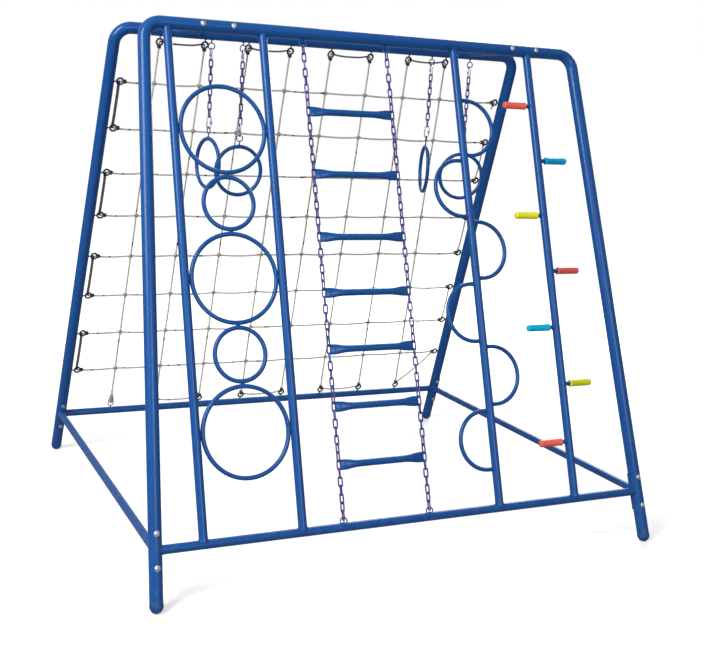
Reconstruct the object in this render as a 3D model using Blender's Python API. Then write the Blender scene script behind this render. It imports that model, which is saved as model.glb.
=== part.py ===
"""A-shaped garden climbing frame: two leaning U frames joined at the top and at the feet.

The front frame carries a ladder of welded rings, a chain ladder, a rail with half hoops and
a rail with hand pegs. The rear frame carries a knotted rope net, and four gym rings hang
from its top bar on short chains. Metres, +Z up, the origin on the ground in the middle.
X runs along the bars with +X to the right, and the front frame stands at -Y.
"""

import math

import bmesh
import bpy
from mathutils import Matrix, Vector

X = Vector((1.0, 0.0, 0.0))
Y = Vector((0.0, 1.0, 0.0))
Z = Vector((0.0, 0.0, 1.0))
FRONT = -1
REAR = 1
LEFT = -1
RIGHT = 1

# Overall size
BASE_LENGTH = 1.78
BASE_DEPTH = 1.50
HEIGHT = 1.66
TUBE_R = 0.020
TUBE_SIDES = 12
TOP_GAP = 0.34
TOP_HALF_LENGTH = 0.79
BEND_R = 0.09
BEND_STEPS = 4
SEAT_GAP = 0.0004
FOOT_LEAN_REACH = 0.0065

# Worked out from the overall size: the leg centrelines on the ground and at the top bar
FOOT_X = BASE_LENGTH / 2 - TUBE_R
FOOT_Y = BASE_DEPTH / 2 - TUBE_R + FOOT_LEAN_REACH
TOP_Y = TOP_GAP / 2
TOP_Z = HEIGHT - TUBE_R
SLOPE = math.hypot(FOOT_Y - TOP_Y, TOP_Z)
LEAN_SIN = (FOOT_Y - TOP_Y) / SLOPE
LEAN_COS = TOP_Z / SLOPE

# Domed foot caps with a flat to stand on
CAP_R = 0.0205
CAP_FLAT_DEPTH = 0.0012
CAP_RIM = 0.006
DOME_STEPS = 3

# Straight members
BAR_R = 0.0135
BAR_SIDES = 10
BAR_UP = 0.173
BRACE_R = 0.011
BRACE_SIDES = 8
RAIL_R = 0.0135
RAIL_SIDES = 8
RAIL_X = {
    "ring_ladder_left_rail": -0.718,
    "ring_ladder_right_rail": -0.405,
    "hoop_rail": 0.297,
    "peg_rail": 0.598,
}

# Saddles that bolt the braces and the spacers to the main tubes
SADDLE_PLATE = 0.0025
SADDLE_HALF_ANGLE = math.radians(45)
SADDLE_STEPS = 3
LEG_SADDLE_LENGTH = 0.125
TOP_SADDLE_LENGTH = 0.135
SPACER_X = {"left_top_spacer": -0.557, "right_top_spacer": 0.578}

# Ladder of rings between the first two rails: big and small rings by turns
ROD_R = 0.007
ROD_SIDES = 6
LADDER_RING_STEPS = 16
SMALL_RING_R = 0.0805
MIDDLE_RING_UP = 0.946
RING_LADDER_COUNT = 5

# Half hoops that wind down one rail
HOOP_R = 0.0955
HOOP_REACH = 0.123
HOOP_STEPS = 6
HOOP_COUNT = 6
FIRST_HOOP_UP = 1.447
HOOP_PITCH = 0.2105

# Hand pegs: a stud on the rail and a plastic grip pushed over it
PEG_COUNT = 7
FIRST_PEG_UP = 1.535
PEG_PITCH = 0.195
STUD_R = 0.0075
STUD_SIDES = 8
GRIP_R = 0.0118
GRIP_START = 0.030
GRIP_LENGTH = 0.088
GRIP_BORE_DEPTH = 0.066
GRIP_TIP_R = 0.0088
GRIP_TIP_LENGTH = 0.004
GRIP_COLOURS = ("red", "cyan", "yellow")

# Chain links, all of one square-sided wire
WIRE = 0.0020
BEARING = 0.0003
LINK_HALF_WIDTH = 0.0060
LINK_SHOULDER = LINK_HALF_WIDTH * 0.2
GYM_PITCH = 0.024
LADDER_PITCH = 0.0254

# Eyelets welded to the tubes on a short neck
EYE_WIRE = 0.0021
EYE_R = 0.0113
EYE_SIDES = 6
EYE_STANDOFF = 0.0205
NECK_TAPER = 0.55

# Gym rings, from left to right: place on the bar, links in the chain, turn about the chain
GYM_X = (-0.455, -0.3385, 0.422, 0.590)
GYM_LINKS = (8, 9, 8, 9)
GYM_TURN = (8.5, 0.0, -21.0, -12.7)
GYM_RING_R = 0.085
GYM_RING_STEPS = 18
GYM_RING_DROP = 0.1076
QUICK_WIRE = 0.0022
QUICK_HALF_WIDTH = 0.0078
QUICK_HALF_LENGTH = 0.0215
QUICK_SHOULDER = QUICK_HALF_WIDTH / 2
HINGE_GAP = 0.0011

# Chain ladder on the front frame
LADDER_X = (-0.268, 0.034)
LADDER_RUNG_LINKS = (8, 16, 24, 31, 38, 45, 52)
LADDER_LINKS = 59
KNEE_LINK = 31
LAST_LONG_LINK = 24
TOP_TURN = 7 * 90 / 8
LONG_TURN = 90
SHORT_TURN = 6 * 90 / 7
BOTTOM_TURN = 5 * 90 / 6
LADDER_TOP_GAP = 0.0005
LADDER_KNEE_GAP = 0.0006
LADDER_BOTTOM_PLAY = 0.0052
RUNG_R = 0.011
RUNG_SIDES = 8
RUNG_END_HALF_HEIGHT = 0.0165
RUNG_END_HALF_THICKNESS = 0.0039
RUNG_FLAT = 0.018
RUNG_HALF_ROUND = 0.042
RUNG_ROUND = 0.070
RUNG_TIP = 0.0036
RUNG_SLOT_DEPTH = 0.0053
RUNG_SLOT_HALF = 0.0023

# Rope net on the rear frame: one rope laced through the eyelets, knotted where it crosses
NET_LINES = 8
NET_TOP_LEFT = -0.636
NET_TOP_STEP = 0.1605
NET_BOTTOM_LEFT = -0.663
NET_BOTTOM_STEP = 0.188
NET_FIRST_UP = 1.550
NET_LAST_UP = 0.378
ROPE_HALF = 0.0031
KNOT_HALF = 0.0072
LACE_OFFSET = 0.0068
LACE_REACH = 0.0094
LACE_TAIL = 0.022

PAINTED_BLUE = (0.017, 0.088, 0.330)
CHAIN_BLUE = (0.045, 0.050, 0.180)
ZINC = (0.55, 0.56, 0.58)
ROPE_GREY = (0.36, 0.34, 0.30)
GRIP_PAINTS = {
    "red": (0.55, 0.012, 0.025),
    "cyan": (0.010, 0.230, 0.560),
    "yellow": (0.780, 0.560, 0.020),
}


def clear_scene():
    """Remove every object that the file opened with."""
    for thing in list(bpy.data.objects):
        bpy.data.objects.remove(thing, do_unlink=True)


def material(name, colour, roughness, metallic):
    """Make a plain Principled material."""
    made = bpy.data.materials.new(name)
    made.use_nodes = True
    shader = made.node_tree.nodes["Principled BSDF"]
    shader.inputs["Base Color"].default_value = (*colour, 1.0)
    shader.inputs["Roughness"].default_value = roughness
    shader.inputs["Metallic"].default_value = metallic
    return made


def world_origin(thing):
    """Return where an object's origin stands; no object here is turned."""
    place = Vector()
    while thing is not None:
        place += thing.location
        thing = thing.parent
    return place


def add_object(name, bm, paint=None, origin=None, parent=None, smooth=True):
    """Turn a mesh built in world coordinates into an object with its origin where asked."""
    bmesh.ops.recalc_face_normals(bm, faces=bm.faces)
    mesh = bpy.data.meshes.new(name)
    bm.to_mesh(mesh)
    bm.free()
    place = origin or Vector()
    mesh.transform(Matrix.Translation(-place))
    if paint:
        mesh.materials.append(paint)
    if smooth:
        mesh.shade_smooth()
        mesh.set_sharp_from_angle(angle=math.radians(40))
    thing = bpy.data.objects.new(name, mesh)
    bpy.context.scene.collection.objects.link(thing)
    thing.parent = parent
    thing.location = place - world_origin(parent)
    return thing


def add_pivot(name, place, parent=None):
    """Mark a joint's axis with an empty that carries the pieces of the moving body."""
    pivot = bpy.data.objects.new(name, None)
    pivot.empty_display_size = 0.04
    bpy.context.scene.collection.objects.link(pivot)
    pivot.parent = parent
    pivot.location = place - world_origin(parent)
    return pivot


def add_operand(name, bm):
    """Add a shape that only a Boolean modifier reads."""
    operand = add_object(name, bm, smooth=False)
    operand.hide_render = True
    operand.display_type = "WIRE"
    return operand


def boolean(target, operation, operand):
    """Join an operand to the target, or cut it away, with an exact Boolean."""
    modifier = target.modifiers.new(operand.name, "BOOLEAN")
    modifier.operation = operation
    modifier.object = operand
    modifier.solver = "EXACT"


def on_slope(side, x, up, out=0.0):
    """Return a point of a leaning frame: up the slope from the ground line, and outwards."""
    y = FOOT_Y - up * LEAN_SIN + out * LEAN_COS
    z = up * LEAN_COS + out * LEAN_SIN
    return Vector((x, side * y, z))


def slope_up(side):
    """Return the direction up a leaning frame."""
    return on_slope(side, 0.0, 1.0) - on_slope(side, 0.0, 0.0)


def slope_out(side):
    """Return the outward normal of a leaning frame."""
    return on_slope(side, 0.0, 0.0, 1.0) - on_slope(side, 0.0, 0.0)


def leg_x(up):
    """Return a leg centreline's distance from the middle at a height up the slope."""
    return FOOT_X - (FOOT_X - TOP_HALF_LENGTH) * up / SLOPE


def leg_point(side, hand, up):
    """Return a point on a leg's centreline."""
    return on_slope(side, hand * leg_x(up), up)


def leg_direction(side, hand):
    """Return the direction up a leg."""
    return (leg_point(side, hand, SLOPE) - leg_point(side, hand, 0.0)).normalized()


def polygon(radius, sides):
    """Return a regular section whose corners lie on the radius and whose flats face the axes."""
    step = 2 * math.pi / sides
    turns = [(k + 0.5) * step for k in range(sides)]
    return [(radius * math.cos(turn), radius * math.sin(turn)) for turn in turns]


def square(half):
    """Return a square section, given half its side."""
    return polygon(half * math.sqrt(2), 4)


def wrap(bm, ring_a, ring_b):
    """Join two rings of as many vertices with quads, and return the faces."""
    faces = []
    count = len(ring_a)
    for k in range(count):
        n = (k + 1) % count
        faces.append(bm.faces.new((ring_a[k], ring_a[n], ring_b[n], ring_b[k])))
    return faces


def section_ring(bm, point, before, after, section, normal):
    """Place one section on the mitre plane between two directions of a path."""
    tangent = (before + after).normalized()
    side = after.cross(normal).normalized()
    across = side.cross(after)
    ring = []
    for a, b in section:
        offset = side * a + across * b
        offset -= after * (offset.dot(tangent) / after.dot(tangent))
        ring.append(bm.verts.new(point + offset))
    return ring


def path_rings(bm, points, section, normal, closed=False):
    """Place a section at every point of a path."""
    rings = []
    last = len(points) - 1
    for k, point in enumerate(points):
        if closed:
            before = point - points[k - 1]
            after = points[(k + 1) % len(points)] - point
        else:
            before = points[max(k, 1)] - points[max(k, 1) - 1]
            after = points[min(k, last - 1) + 1] - points[min(k, last - 1)]
        ring = section_ring(bm, point, before.normalized(), after.normalized(), section, normal)
        rings.append(ring)
    return rings


def tube(bm, points, section, normal):
    """Sweep a section along an open path and close both ends."""
    rings = path_rings(bm, points, section, normal)
    for ring_a, ring_b in zip(rings, rings[1:]):
        wrap(bm, ring_a, ring_b)
    bm.faces.new(rings[0])
    bm.faces.new(rings[-1])


def loop(bm, points, section, normal):
    """Sweep a section round a closed path, and return each stretch's faces."""
    rings = path_rings(bm, points, section, normal, closed=True)
    return [wrap(bm, ring_a, ring_b) for ring_a, ring_b in zip(rings, rings[1:] + rings[:1])]


def rounded(points, radius, steps):
    """Replace the inner corners of a path by arcs."""
    path = [points[0]]
    for before, corner, after in zip(points, points[1:], points[2:]):
        to_before = (before - corner).normalized()
        to_after = (after - corner).normalized()
        half = to_before.angle(to_after) / 2
        centre = corner + (to_before + to_after).normalized() * (radius / math.sin(half))
        start = corner + to_before * (radius / math.tan(half)) - centre
        end = corner + to_after * (radius / math.tan(half)) - centre
        axis = start.cross(end).normalized()
        for k in range(steps + 1):
            turn = Matrix.Rotation(start.angle(end) * k / steps, 3, axis)
            path.append(centre + turn @ start)
    path.append(points[-1])
    return path


def circle(centre, across, up, radius, steps, first=0.0):
    """Return points round a circle."""
    turns = [first + 2 * math.pi * k / steps for k in range(steps)]
    return [centre + (across * math.cos(t) + up * math.sin(t)) * radius for t in turns]


def turned(bm, profile, sides, start, axis):
    """Revolve pairs of distance and radius about an axis; the first and last radius are 0."""
    side = axis.orthogonal().normalized()
    across = axis.cross(side)
    rings = []
    for distance, radius in profile[1:-1]:
        rings.append([
            bm.verts.new(start + axis * distance + side * a + across * b)
            for a, b in polygon(radius, sides)
        ])
    for ring_a, ring_b in zip(rings, rings[1:]):
        wrap(bm, ring_a, ring_b)
    for (distance, _), ring in ((profile[0], rings[0]), (profile[-1], rings[-1])):
        tip = bm.verts.new(start + axis * distance)
        for k in range(sides):
            bm.faces.new((ring[k], ring[(k + 1) % sides], tip))


def stitch(bm, loop_a, loop_b):
    """Join two loops of vertices in the order that keeps the walls shortest."""
    orders = []
    for order in (list(loop_b), list(loop_b)[::-1]):
        for k in range(len(order)):
            orders.append(order[k:] + order[:k])
    shortest = min(orders, key=lambda order: sum(
        (a.co - b.co).length for a, b in zip(loop_a, order)))
    wrap(bm, list(loop_a), shortest)


def fuse(bm, face_a, face_b):
    """Weld two links where they bear: open both facing quads and wall the slit between them."""
    loop_a = list(face_a.verts)
    loop_b = list(face_b.verts)
    bmesh.ops.delete(bm, geom=[face_a, face_b], context="FACES_ONLY")
    stitch(bm, loop_a, loop_b)


class Link:
    """One closed link in a plane: its inner faces at the top and bottom carry its neighbours."""

    def __init__(self, bm, top, up, across, half_width, half_length, wire, shoulder):
        """Build the link with the middle of its top wire at a point."""
        self.bottom_point = top - up * 2 * half_length
        centre = top - up * half_length
        flat = half_width - shoulder
        right = [(flat, half_length)]
        if shoulder < half_width / 3:  # a short link's sides bow out to one point
            right.append((half_width, 0.0))
        else:
            right.append((half_width, half_length - shoulder))
            right.append((half_width, shoulder - half_length))
        right.append((flat, -half_length))
        outline = right + [(-a, -b) for a, b in right]
        points = [centre + across * a + up * b for a, b in outline]
        bands = loop(bm, points, square(wire), across.cross(up))
        self.top_face = self.nearest(bands[-1], centre)
        self.bottom_face = self.nearest(bands[len(right) - 1], centre)

    @staticmethod
    def nearest(faces, centre):
        """Return the face that looks at the link's centre."""
        return min(faces, key=lambda face: (face.calc_center_median() - centre).length)


def turned_across(across, up, degrees):
    """Return a link's width direction, turned about the chain."""
    return Matrix.Rotation(math.radians(degrees), 3, up) @ across


def eyelet(bm, centre, normal, toward, reach=None):
    """Build a wire eye; with a reach, a tapered neck runs from it into the tube."""
    side = normal.cross(toward).normalized()
    corner_r = EYE_R / math.cos(math.pi / EYE_SIDES)
    points = circle(centre, toward, side, corner_r, EYE_SIDES, -math.pi / EYE_SIDES)
    bands = loop(bm, points, square(EYE_WIRE), normal)
    if reach is None:
        return
    root = max(bands[0], key=lambda face: (face.calc_center_median() - centre).length)
    ring = list(root.verts)
    bmesh.ops.delete(bm, geom=[root], context="FACES_ONLY")
    foot = []
    for vert in ring:
        offset = vert.co - centre
        spot = vert.co + toward * (reach - offset.dot(toward))
        foot.append(bm.verts.new(spot - side * offset.dot(side) * NECK_TAPER))
    wrap(bm, ring, foot)
    bm.faces.new(foot)


def saddle(bm, centre, axis, facing, length):
    """Build a curved plate that hugs one side of a main tube."""
    side = axis.cross(facing).normalized()
    step = 2 * SADDLE_HALF_ANGLE / SADDLE_STEPS
    inner_r = (TUBE_R + SEAT_GAP) / math.cos(step / 2)
    turns = [k * step - SADDLE_HALF_ANGLE for k in range(SADDLE_STEPS + 1)]
    ends = []
    for end in (-length / 2, length / 2):
        arcs = []
        for radius in (inner_r, inner_r + SADDLE_PLATE):
            arcs.append([
                bm.verts.new(centre + axis * end
                             + (facing * math.cos(turn) + side * math.sin(turn)) * radius)
                for turn in turns
            ])
        inner, outer = arcs
        for k in range(SADDLE_STEPS):
            bm.faces.new((inner[k], inner[k + 1], outer[k + 1], outer[k]))
        ends.append(inner + outer[::-1])
    wrap(bm, ends[0], ends[1])


def main_frame(side, radius):
    """Return the mesh of one bent U tube: leg, top bar and leg."""
    cap_top = (CAP_R - CAP_FLAT_DEPTH + CAP_RIM + SEAT_GAP) / LEAN_COS
    corners = [
        leg_point(side, LEFT, cap_top),
        leg_point(side, LEFT, SLOPE),
        leg_point(side, RIGHT, SLOPE),
        leg_point(side, RIGHT, cap_top),
    ]
    bm = bmesh.new()
    path = rounded(corners, BEND_R, BEND_STEPS)
    tube(bm, path, polygon(radius, TUBE_SIDES), slope_out(side))
    return bm


def foot_cap(name, side, hand, paint):
    """Build a domed cap whose flat stands on the ground."""
    axis = -leg_direction(side, hand)
    dome_z = CAP_R - CAP_FLAT_DEPTH
    centre = leg_point(side, hand, dome_z / LEAN_COS)
    profile = [(-CAP_RIM, 0.0), (-CAP_RIM, CAP_R)]
    for k in range(DOME_STEPS + 1):
        turn = math.pi / 2 * k / DOME_STEPS
        profile.append((CAP_R * math.sin(turn), CAP_R * math.cos(turn)))
    bm = bmesh.new()
    turned(bm, profile, TUBE_SIDES, centre, axis)
    everything = bm.verts[:] + bm.edges[:] + bm.faces[:]
    cut = bmesh.ops.bisect_plane(
        bm, geom=everything, plane_co=(0, 0, 0), plane_no=(0, 0, -1), clear_outer=True)
    rim = [edge for edge in cut["geom_cut"] if isinstance(edge, bmesh.types.BMEdge)]
    bmesh.ops.edgeloop_fill(bm, edges=rim)
    return add_object(name, bm, paint)


def leg_eye(hand, up):
    """Return a net eyelet's centre beside a rear leg, and the direction to the leg."""
    leg = leg_point(REAR, hand, up)
    toward = X * hand
    return leg - toward * (TUBE_R + EYE_STANDOFF), toward


def net_rise(row):
    """Return the height up the slope of one of the net's level ropes."""
    return NET_FIRST_UP + (NET_LAST_UP - NET_FIRST_UP) * row / (NET_LINES - 1)


def top_eye_up():
    """Return the height of the net's eyelets under the top bar."""
    return SLOPE - TUBE_R - EYE_STANDOFF


def bottom_eye_up():
    """Return the height of the net's eyelets over the bottom bar."""
    return BAR_UP + BAR_R + EYE_STANDOFF


def net_top_x(column):
    """Return where an upright rope of the net meets the top bar."""
    return NET_TOP_LEFT + NET_TOP_STEP * column


def net_bottom_x(column):
    """Return where an upright rope of the net meets the bottom bar."""
    return NET_BOTTOM_LEFT + NET_BOTTOM_STEP * column


def gym_eye(x):
    """Return the centre of a gym ring's eyelet, which hangs straight under the rear bar."""
    return Vector((x, TOP_Y, TOP_Z - TUBE_R - EYE_STANDOFF))


def rear_eyelets():
    """Build the eyelets of the rear frame: for the net on three sides, and for the rings."""
    bm = bmesh.new()
    out = slope_out(REAR)
    up = slope_up(REAR)
    root = EYE_STANDOFF + TUBE_R / 2
    for hand in (LEFT, RIGHT):
        for row in range(NET_LINES):
            centre, toward = leg_eye(hand, net_rise(row))
            eyelet(bm, centre, out, toward, root)
    for column in range(NET_LINES):
        eyelet(bm, on_slope(REAR, net_top_x(column), top_eye_up()), out, up, root)
    for x in GYM_X:
        eyelet(bm, gym_eye(x), Y, Z, root)
    return add_operand("rear_eyelets", bm)


def ladder_eye_up():
    """Return the height of the chain ladder's upper eyelets."""
    return SLOPE - TUBE_R - EYE_R - EYE_WIRE / 2


def ladder_top_up():
    """Return the height of the middle of the chain ladder's first wire."""
    return ladder_eye_up() - EYE_R + EYE_WIRE + LADDER_TOP_GAP + WIRE


def ladder_half_length():
    """Return half a ladder link's centreline length."""
    return (LADDER_PITCH + 2 * WIRE + BEARING) / 2


def ladder_link_up(index):
    """Return the height of the middle of a ladder link's top wire."""
    knee = LADDER_KNEE_GAP - BEARING if index > KNEE_LINK else 0.0
    return ladder_top_up() - LADDER_PITCH * index + knee


def ladder_bottom_eye_up():
    """Return the height of the chain ladder's lower eyelets, which leave it some play."""
    last_wire = ladder_link_up(LADDER_LINKS - 1) - 2 * ladder_half_length()
    return last_wire + WIRE + LADDER_BOTTOM_PLAY + EYE_WIRE - EYE_R


def front_eyelets():
    """Build the two eyelets under the front bar that carry the chain ladder."""
    bm = bmesh.new()
    for x in LADDER_X:
        centre = on_slope(FRONT, x, ladder_eye_up())
        eyelet(bm, centre, slope_out(FRONT), slope_up(FRONT), EYE_R + TUBE_R / 2)
    return add_operand("front_eyelets", bm)


def leg_cutter(name, side, radius):
    """Build two cylinders along the legs of a frame, to shape what ends on them."""
    bm = bmesh.new()
    for hand in (LEFT, RIGHT):
        ends = [leg_point(side, hand, 0.0), leg_point(side, hand, 2 * BAR_UP)]
        tube(bm, ends, polygon(radius, TUBE_SIDES), slope_out(side))
    return add_operand(name, bm)


def bottom_bar(name, side, paint, eyelets):
    """Build the bar between two legs near the ground, with its welded eyelets."""
    reach = leg_x(BAR_UP) - TUBE_R / 2
    bm = bmesh.new()
    ends = [on_slope(side, -reach, BAR_UP), on_slope(side, reach, BAR_UP)]
    tube(bm, ends, polygon(BAR_R, BAR_SIDES), slope_out(side))
    bar = add_object(name, bm, paint)
    boolean(bar, "DIFFERENCE", leg_cutter(name + "_ends", side, TUBE_R + SEAT_GAP))
    boolean(bar, "UNION", add_operand(name + "_eyelets", eyelets))
    return bar


def front_bar_eyelets():
    """Build the half-sunk eyes that hold the foot of the chain ladder."""
    bm = bmesh.new()
    for x in LADDER_X:
        centre = on_slope(FRONT, x, ladder_bottom_eye_up())
        eyelet(bm, centre, slope_out(FRONT), -slope_up(FRONT))
    return bm


def rear_bar_eyelets():
    """Build the row of eyes that hold the net's lower edge."""
    bm = bmesh.new()
    for column in range(NET_LINES):
        centre = on_slope(REAR, net_bottom_x(column), bottom_eye_up())
        eyelet(bm, centre, slope_out(REAR), -slope_up(REAR), EYE_STANDOFF + BAR_R / 2)
    return bm


def side_brace(name, hand, paint):
    """Build the level tube between a front and a rear leg, with a saddle at each end."""
    saddles = bmesh.new()
    cutters = bmesh.new()
    ends = []
    for side in (FRONT, REAR):
        centre = leg_point(side, hand, BAR_UP)
        axis = leg_direction(side, hand)
        facing = -slope_out(side)
        saddle(saddles, centre, axis, facing, LEG_SADDLE_LENGTH)
        half = axis * LEG_SADDLE_LENGTH
        core = polygon(TUBE_R + SADDLE_PLATE / 2, TUBE_SIDES)
        tube(cutters, [centre - half, centre + half], core, slope_out(side))
        ends.append(centre)
    bm = bmesh.new()
    tube(bm, ends, polygon(BRACE_R, BRACE_SIDES), X)
    brace = add_object(name, bm, paint)
    boolean(brace, "DIFFERENCE", add_operand(name + "_ends", cutters))
    boolean(brace, "UNION", add_operand(name + "_saddles", saddles))
    return brace


def top_spacer(name, x, paint):
    """Build the short tube between the two top bars, with a saddle at each end."""
    saddles = bmesh.new()
    cutters = bmesh.new()
    ends = []
    for side in (FRONT, REAR):
        centre = on_slope(side, x, SLOPE)
        saddle(saddles, centre, X, -slope_out(side), TOP_SADDLE_LENGTH)
        core = polygon(TUBE_R + SADDLE_PLATE / 2, TUBE_SIDES)
        half = X * TOP_SADDLE_LENGTH
        tube(cutters, [centre - half, centre + half], core, slope_out(side))
        ends.append(centre)
    bm = bmesh.new()
    tube(bm, ends, polygon(BRACE_R, BRACE_SIDES), Z)
    spacer = add_object(name, bm, paint)
    boolean(spacer, "DIFFERENCE", add_operand(name + "_ends", cutters))
    boolean(spacer, "UNION", add_operand(name + "_saddles", saddles))
    return spacer


def rail_cutter():
    """Build the outlines of the frame and its bottom bar, which shape the rails' ends."""
    bm = main_frame(FRONT, TUBE_R + SEAT_GAP)
    ends = [on_slope(FRONT, hand * TOP_HALF_LENGTH, BAR_UP) for hand in (LEFT, RIGHT)]
    tube(bm, ends, polygon(BAR_R + SEAT_GAP, BAR_SIDES), slope_out(FRONT))
    return add_operand("rail_ends", bm)


def rail(name, x, cutter, paint):
    """Build one straight rail between the front bars."""
    bm = bmesh.new()
    ends = [on_slope(FRONT, x, BAR_UP + BAR_R / 2), on_slope(FRONT, x, SLOPE - TUBE_R / 2)]
    tube(bm, ends, polygon(RAIL_R, RAIL_SIDES), slope_out(FRONT))
    made = add_object(name, bm, paint)
    boolean(made, "DIFFERENCE", cutter)
    return made


def peg_side(index):
    """Return which side of its rail a peg stands on."""
    return LEFT if index % 2 == 0 else RIGHT


def peg_up(index):
    """Return a peg's height up the slope."""
    return FIRST_PEG_UP - PEG_PITCH * index


def studs(x):
    """Build the studs that carry the pegs' grips."""
    bm = bmesh.new()
    length = GRIP_START + GRIP_BORE_DEPTH - SEAT_GAP
    for index in range(PEG_COUNT):
        root = on_slope(FRONT, x, peg_up(index))
        tip = root + X * peg_side(index) * length
        tube(bm, [root, tip], polygon(STUD_R, STUD_SIDES), slope_out(FRONT))
    return add_operand("peg_studs", bm)


def peg_grip(index, x, paint):
    """Build a grip: a blind plastic sleeve with a rounded tip."""
    axis = X * peg_side(index)
    bore = (STUD_R + SEAT_GAP) / math.cos(math.pi / STUD_SIDES)
    profile = [
        (GRIP_BORE_DEPTH, 0.0),
        (GRIP_BORE_DEPTH, bore),
        (0.0, bore),
        (0.0, GRIP_R),
        (GRIP_LENGTH - GRIP_R, GRIP_R),
        (GRIP_LENGTH - GRIP_TIP_LENGTH, GRIP_TIP_R),
        (GRIP_LENGTH, 0.0),
    ]
    bm = bmesh.new()
    start = on_slope(FRONT, x, peg_up(index)) + axis * GRIP_START
    turned(bm, profile, STUD_SIDES, start, axis)
    return add_object("peg_grip_{}".format(index + 1), bm, paint)


def ring_ladder(paint):
    """Build the rings between the first two rails: the big ones touch the rails."""
    left = RAIL_X["ring_ladder_left_rail"]
    right = RAIL_X["ring_ladder_right_rail"]
    rod_reach = ROD_R / math.cos(math.pi / LADDER_RING_STEPS) + SEAT_GAP / 2
    big_r = (right - left) / 2 - RAIL_R - SEAT_GAP - rod_reach
    pitch = big_r + SMALL_RING_R + 2 * rod_reach
    for index in range(RING_LADDER_COUNT):
        up = MIDDLE_RING_UP + pitch * (RING_LADDER_COUNT // 2 - index)
        radius = big_r if index % 2 == 0 else SMALL_RING_R
        centre = on_slope(FRONT, (left + right) / 2, up)
        points = circle(centre, X, slope_up(FRONT), radius, LADDER_RING_STEPS)
        bm = bmesh.new()
        loop(bm, points, polygon(ROD_R, ROD_SIDES), slope_out(FRONT))
        add_object("ladder_ring_{}".format(index + 1), bm, paint)


def snake_hoops(paint):
    """Build the half hoops that stand on the right and left of their rail by turns."""
    x = RAIL_X["hoop_rail"]
    bm = bmesh.new()
    ends = [on_slope(FRONT, x, BAR_UP), on_slope(FRONT, x, SLOPE)]
    tube(bm, ends, polygon(RAIL_R + SEAT_GAP, RAIL_SIDES), slope_out(FRONT))
    cutter = add_operand("hoop_ends", bm)
    for index in range(HOOP_COUNT):
        hand = RIGHT if index % 2 == 0 else LEFT
        up = FIRST_HOOP_UP - HOOP_PITCH * index
        arc_x = HOOP_REACH - HOOP_R
        path = [on_slope(FRONT, x + hand * RAIL_R / 2, up + HOOP_R)]
        for k in range(HOOP_STEPS + 1):
            turn = math.pi / 2 - math.pi * k / HOOP_STEPS
            away = arc_x + HOOP_R * math.cos(turn)
            path.append(on_slope(FRONT, x + hand * away, up + HOOP_R * math.sin(turn)))
        path.append(on_slope(FRONT, x + hand * RAIL_R / 2, up - HOOP_R))
        hoop = bmesh.new()
        tube(hoop, path, polygon(ROD_R, ROD_SIDES), slope_out(FRONT))
        made = add_object("snake_hoop_{}".format(index + 1), hoop, paint)
        boolean(made, "DIFFERENCE", cutter)


def gym_assembly(index, chain_paint, zinc, steel):
    """Build one quick link, its chain with the lower quick link, and the ring it carries."""
    number = index + 1
    x = GYM_X[index]
    links = GYM_LINKS[index]
    eye_wire = Vector((x, TOP_Y, gym_eye(x).z - EYE_R))
    top = eye_wire + Z * (EYE_WIRE + HINGE_GAP + QUICK_WIRE)

    link_pivot = add_pivot("quick_link_pivot_{}".format(number), eye_wire)
    bm = bmesh.new()
    quick = Link(bm, top, Z, Y,
                 QUICK_HALF_WIDTH, QUICK_HALF_LENGTH, QUICK_WIRE, QUICK_SHOULDER)
    add_object("quick_link_{}".format(number), bm, zinc, eye_wire, link_pivot)

    bearing = quick.bottom_point
    chain_pivot = add_pivot("gym_chain_pivot_{}".format(number), bearing, link_pivot)
    half_length = (GYM_PITCH + 2 * WIRE + BEARING) / 2
    wire_top = bearing + Z * (QUICK_WIRE + HINGE_GAP + WIRE)
    bm = bmesh.new()
    above = None
    for k in range(links):
        across = turned_across(X, Z, 90 * k + GYM_TURN[index] * k / links)
        link = Link(bm, wire_top - Z * GYM_PITCH * k, Z, across,
                    LINK_HALF_WIDTH, half_length, WIRE, LINK_SHOULDER)
        if above:
            fuse(bm, above.bottom_face, link.top_face)
        above = link
    across = turned_across(X, Z, 90 * links + GYM_TURN[index])
    lower_top = above.bottom_point + Z * (WIRE + BEARING + QUICK_WIRE)
    lower = Link(bm, lower_top, Z, across,
                 QUICK_HALF_WIDTH, QUICK_HALF_LENGTH, QUICK_WIRE, QUICK_SHOULDER)
    fuse(bm, above.bottom_face, lower.top_face)
    add_object("gym_chain_{}".format(number), bm, chain_paint, bearing, chain_pivot)

    ring_across = across.cross(Z)
    eye_top = lower.bottom_point + Z * (QUICK_WIRE + HINGE_GAP + EYE_WIRE)
    ring_pivot_place = lower.bottom_point if links % 2 == 0 else eye_top
    ring_pivot = add_pivot("gym_ring_pivot_{}".format(number), ring_pivot_place, chain_pivot)
    eye_centre = eye_top - Z * EYE_R
    centre = eye_centre - Z * (GYM_RING_DROP + ROD_R)
    bm = bmesh.new()
    points = circle(centre, ring_across, Z, GYM_RING_R, GYM_RING_STEPS)
    loop(bm, points, polygon(ROD_R, ROD_SIDES), across)
    ring = add_object("gym_ring_{}".format(number), bm, steel, ring_pivot_place, ring_pivot)
    bm = bmesh.new()
    eyelet(bm, eye_centre, across, -Z, GYM_RING_DROP + ROD_R - GYM_RING_R)
    boolean(ring, "UNION", add_operand("gym_ring_eye_{}".format(number), bm))


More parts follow.
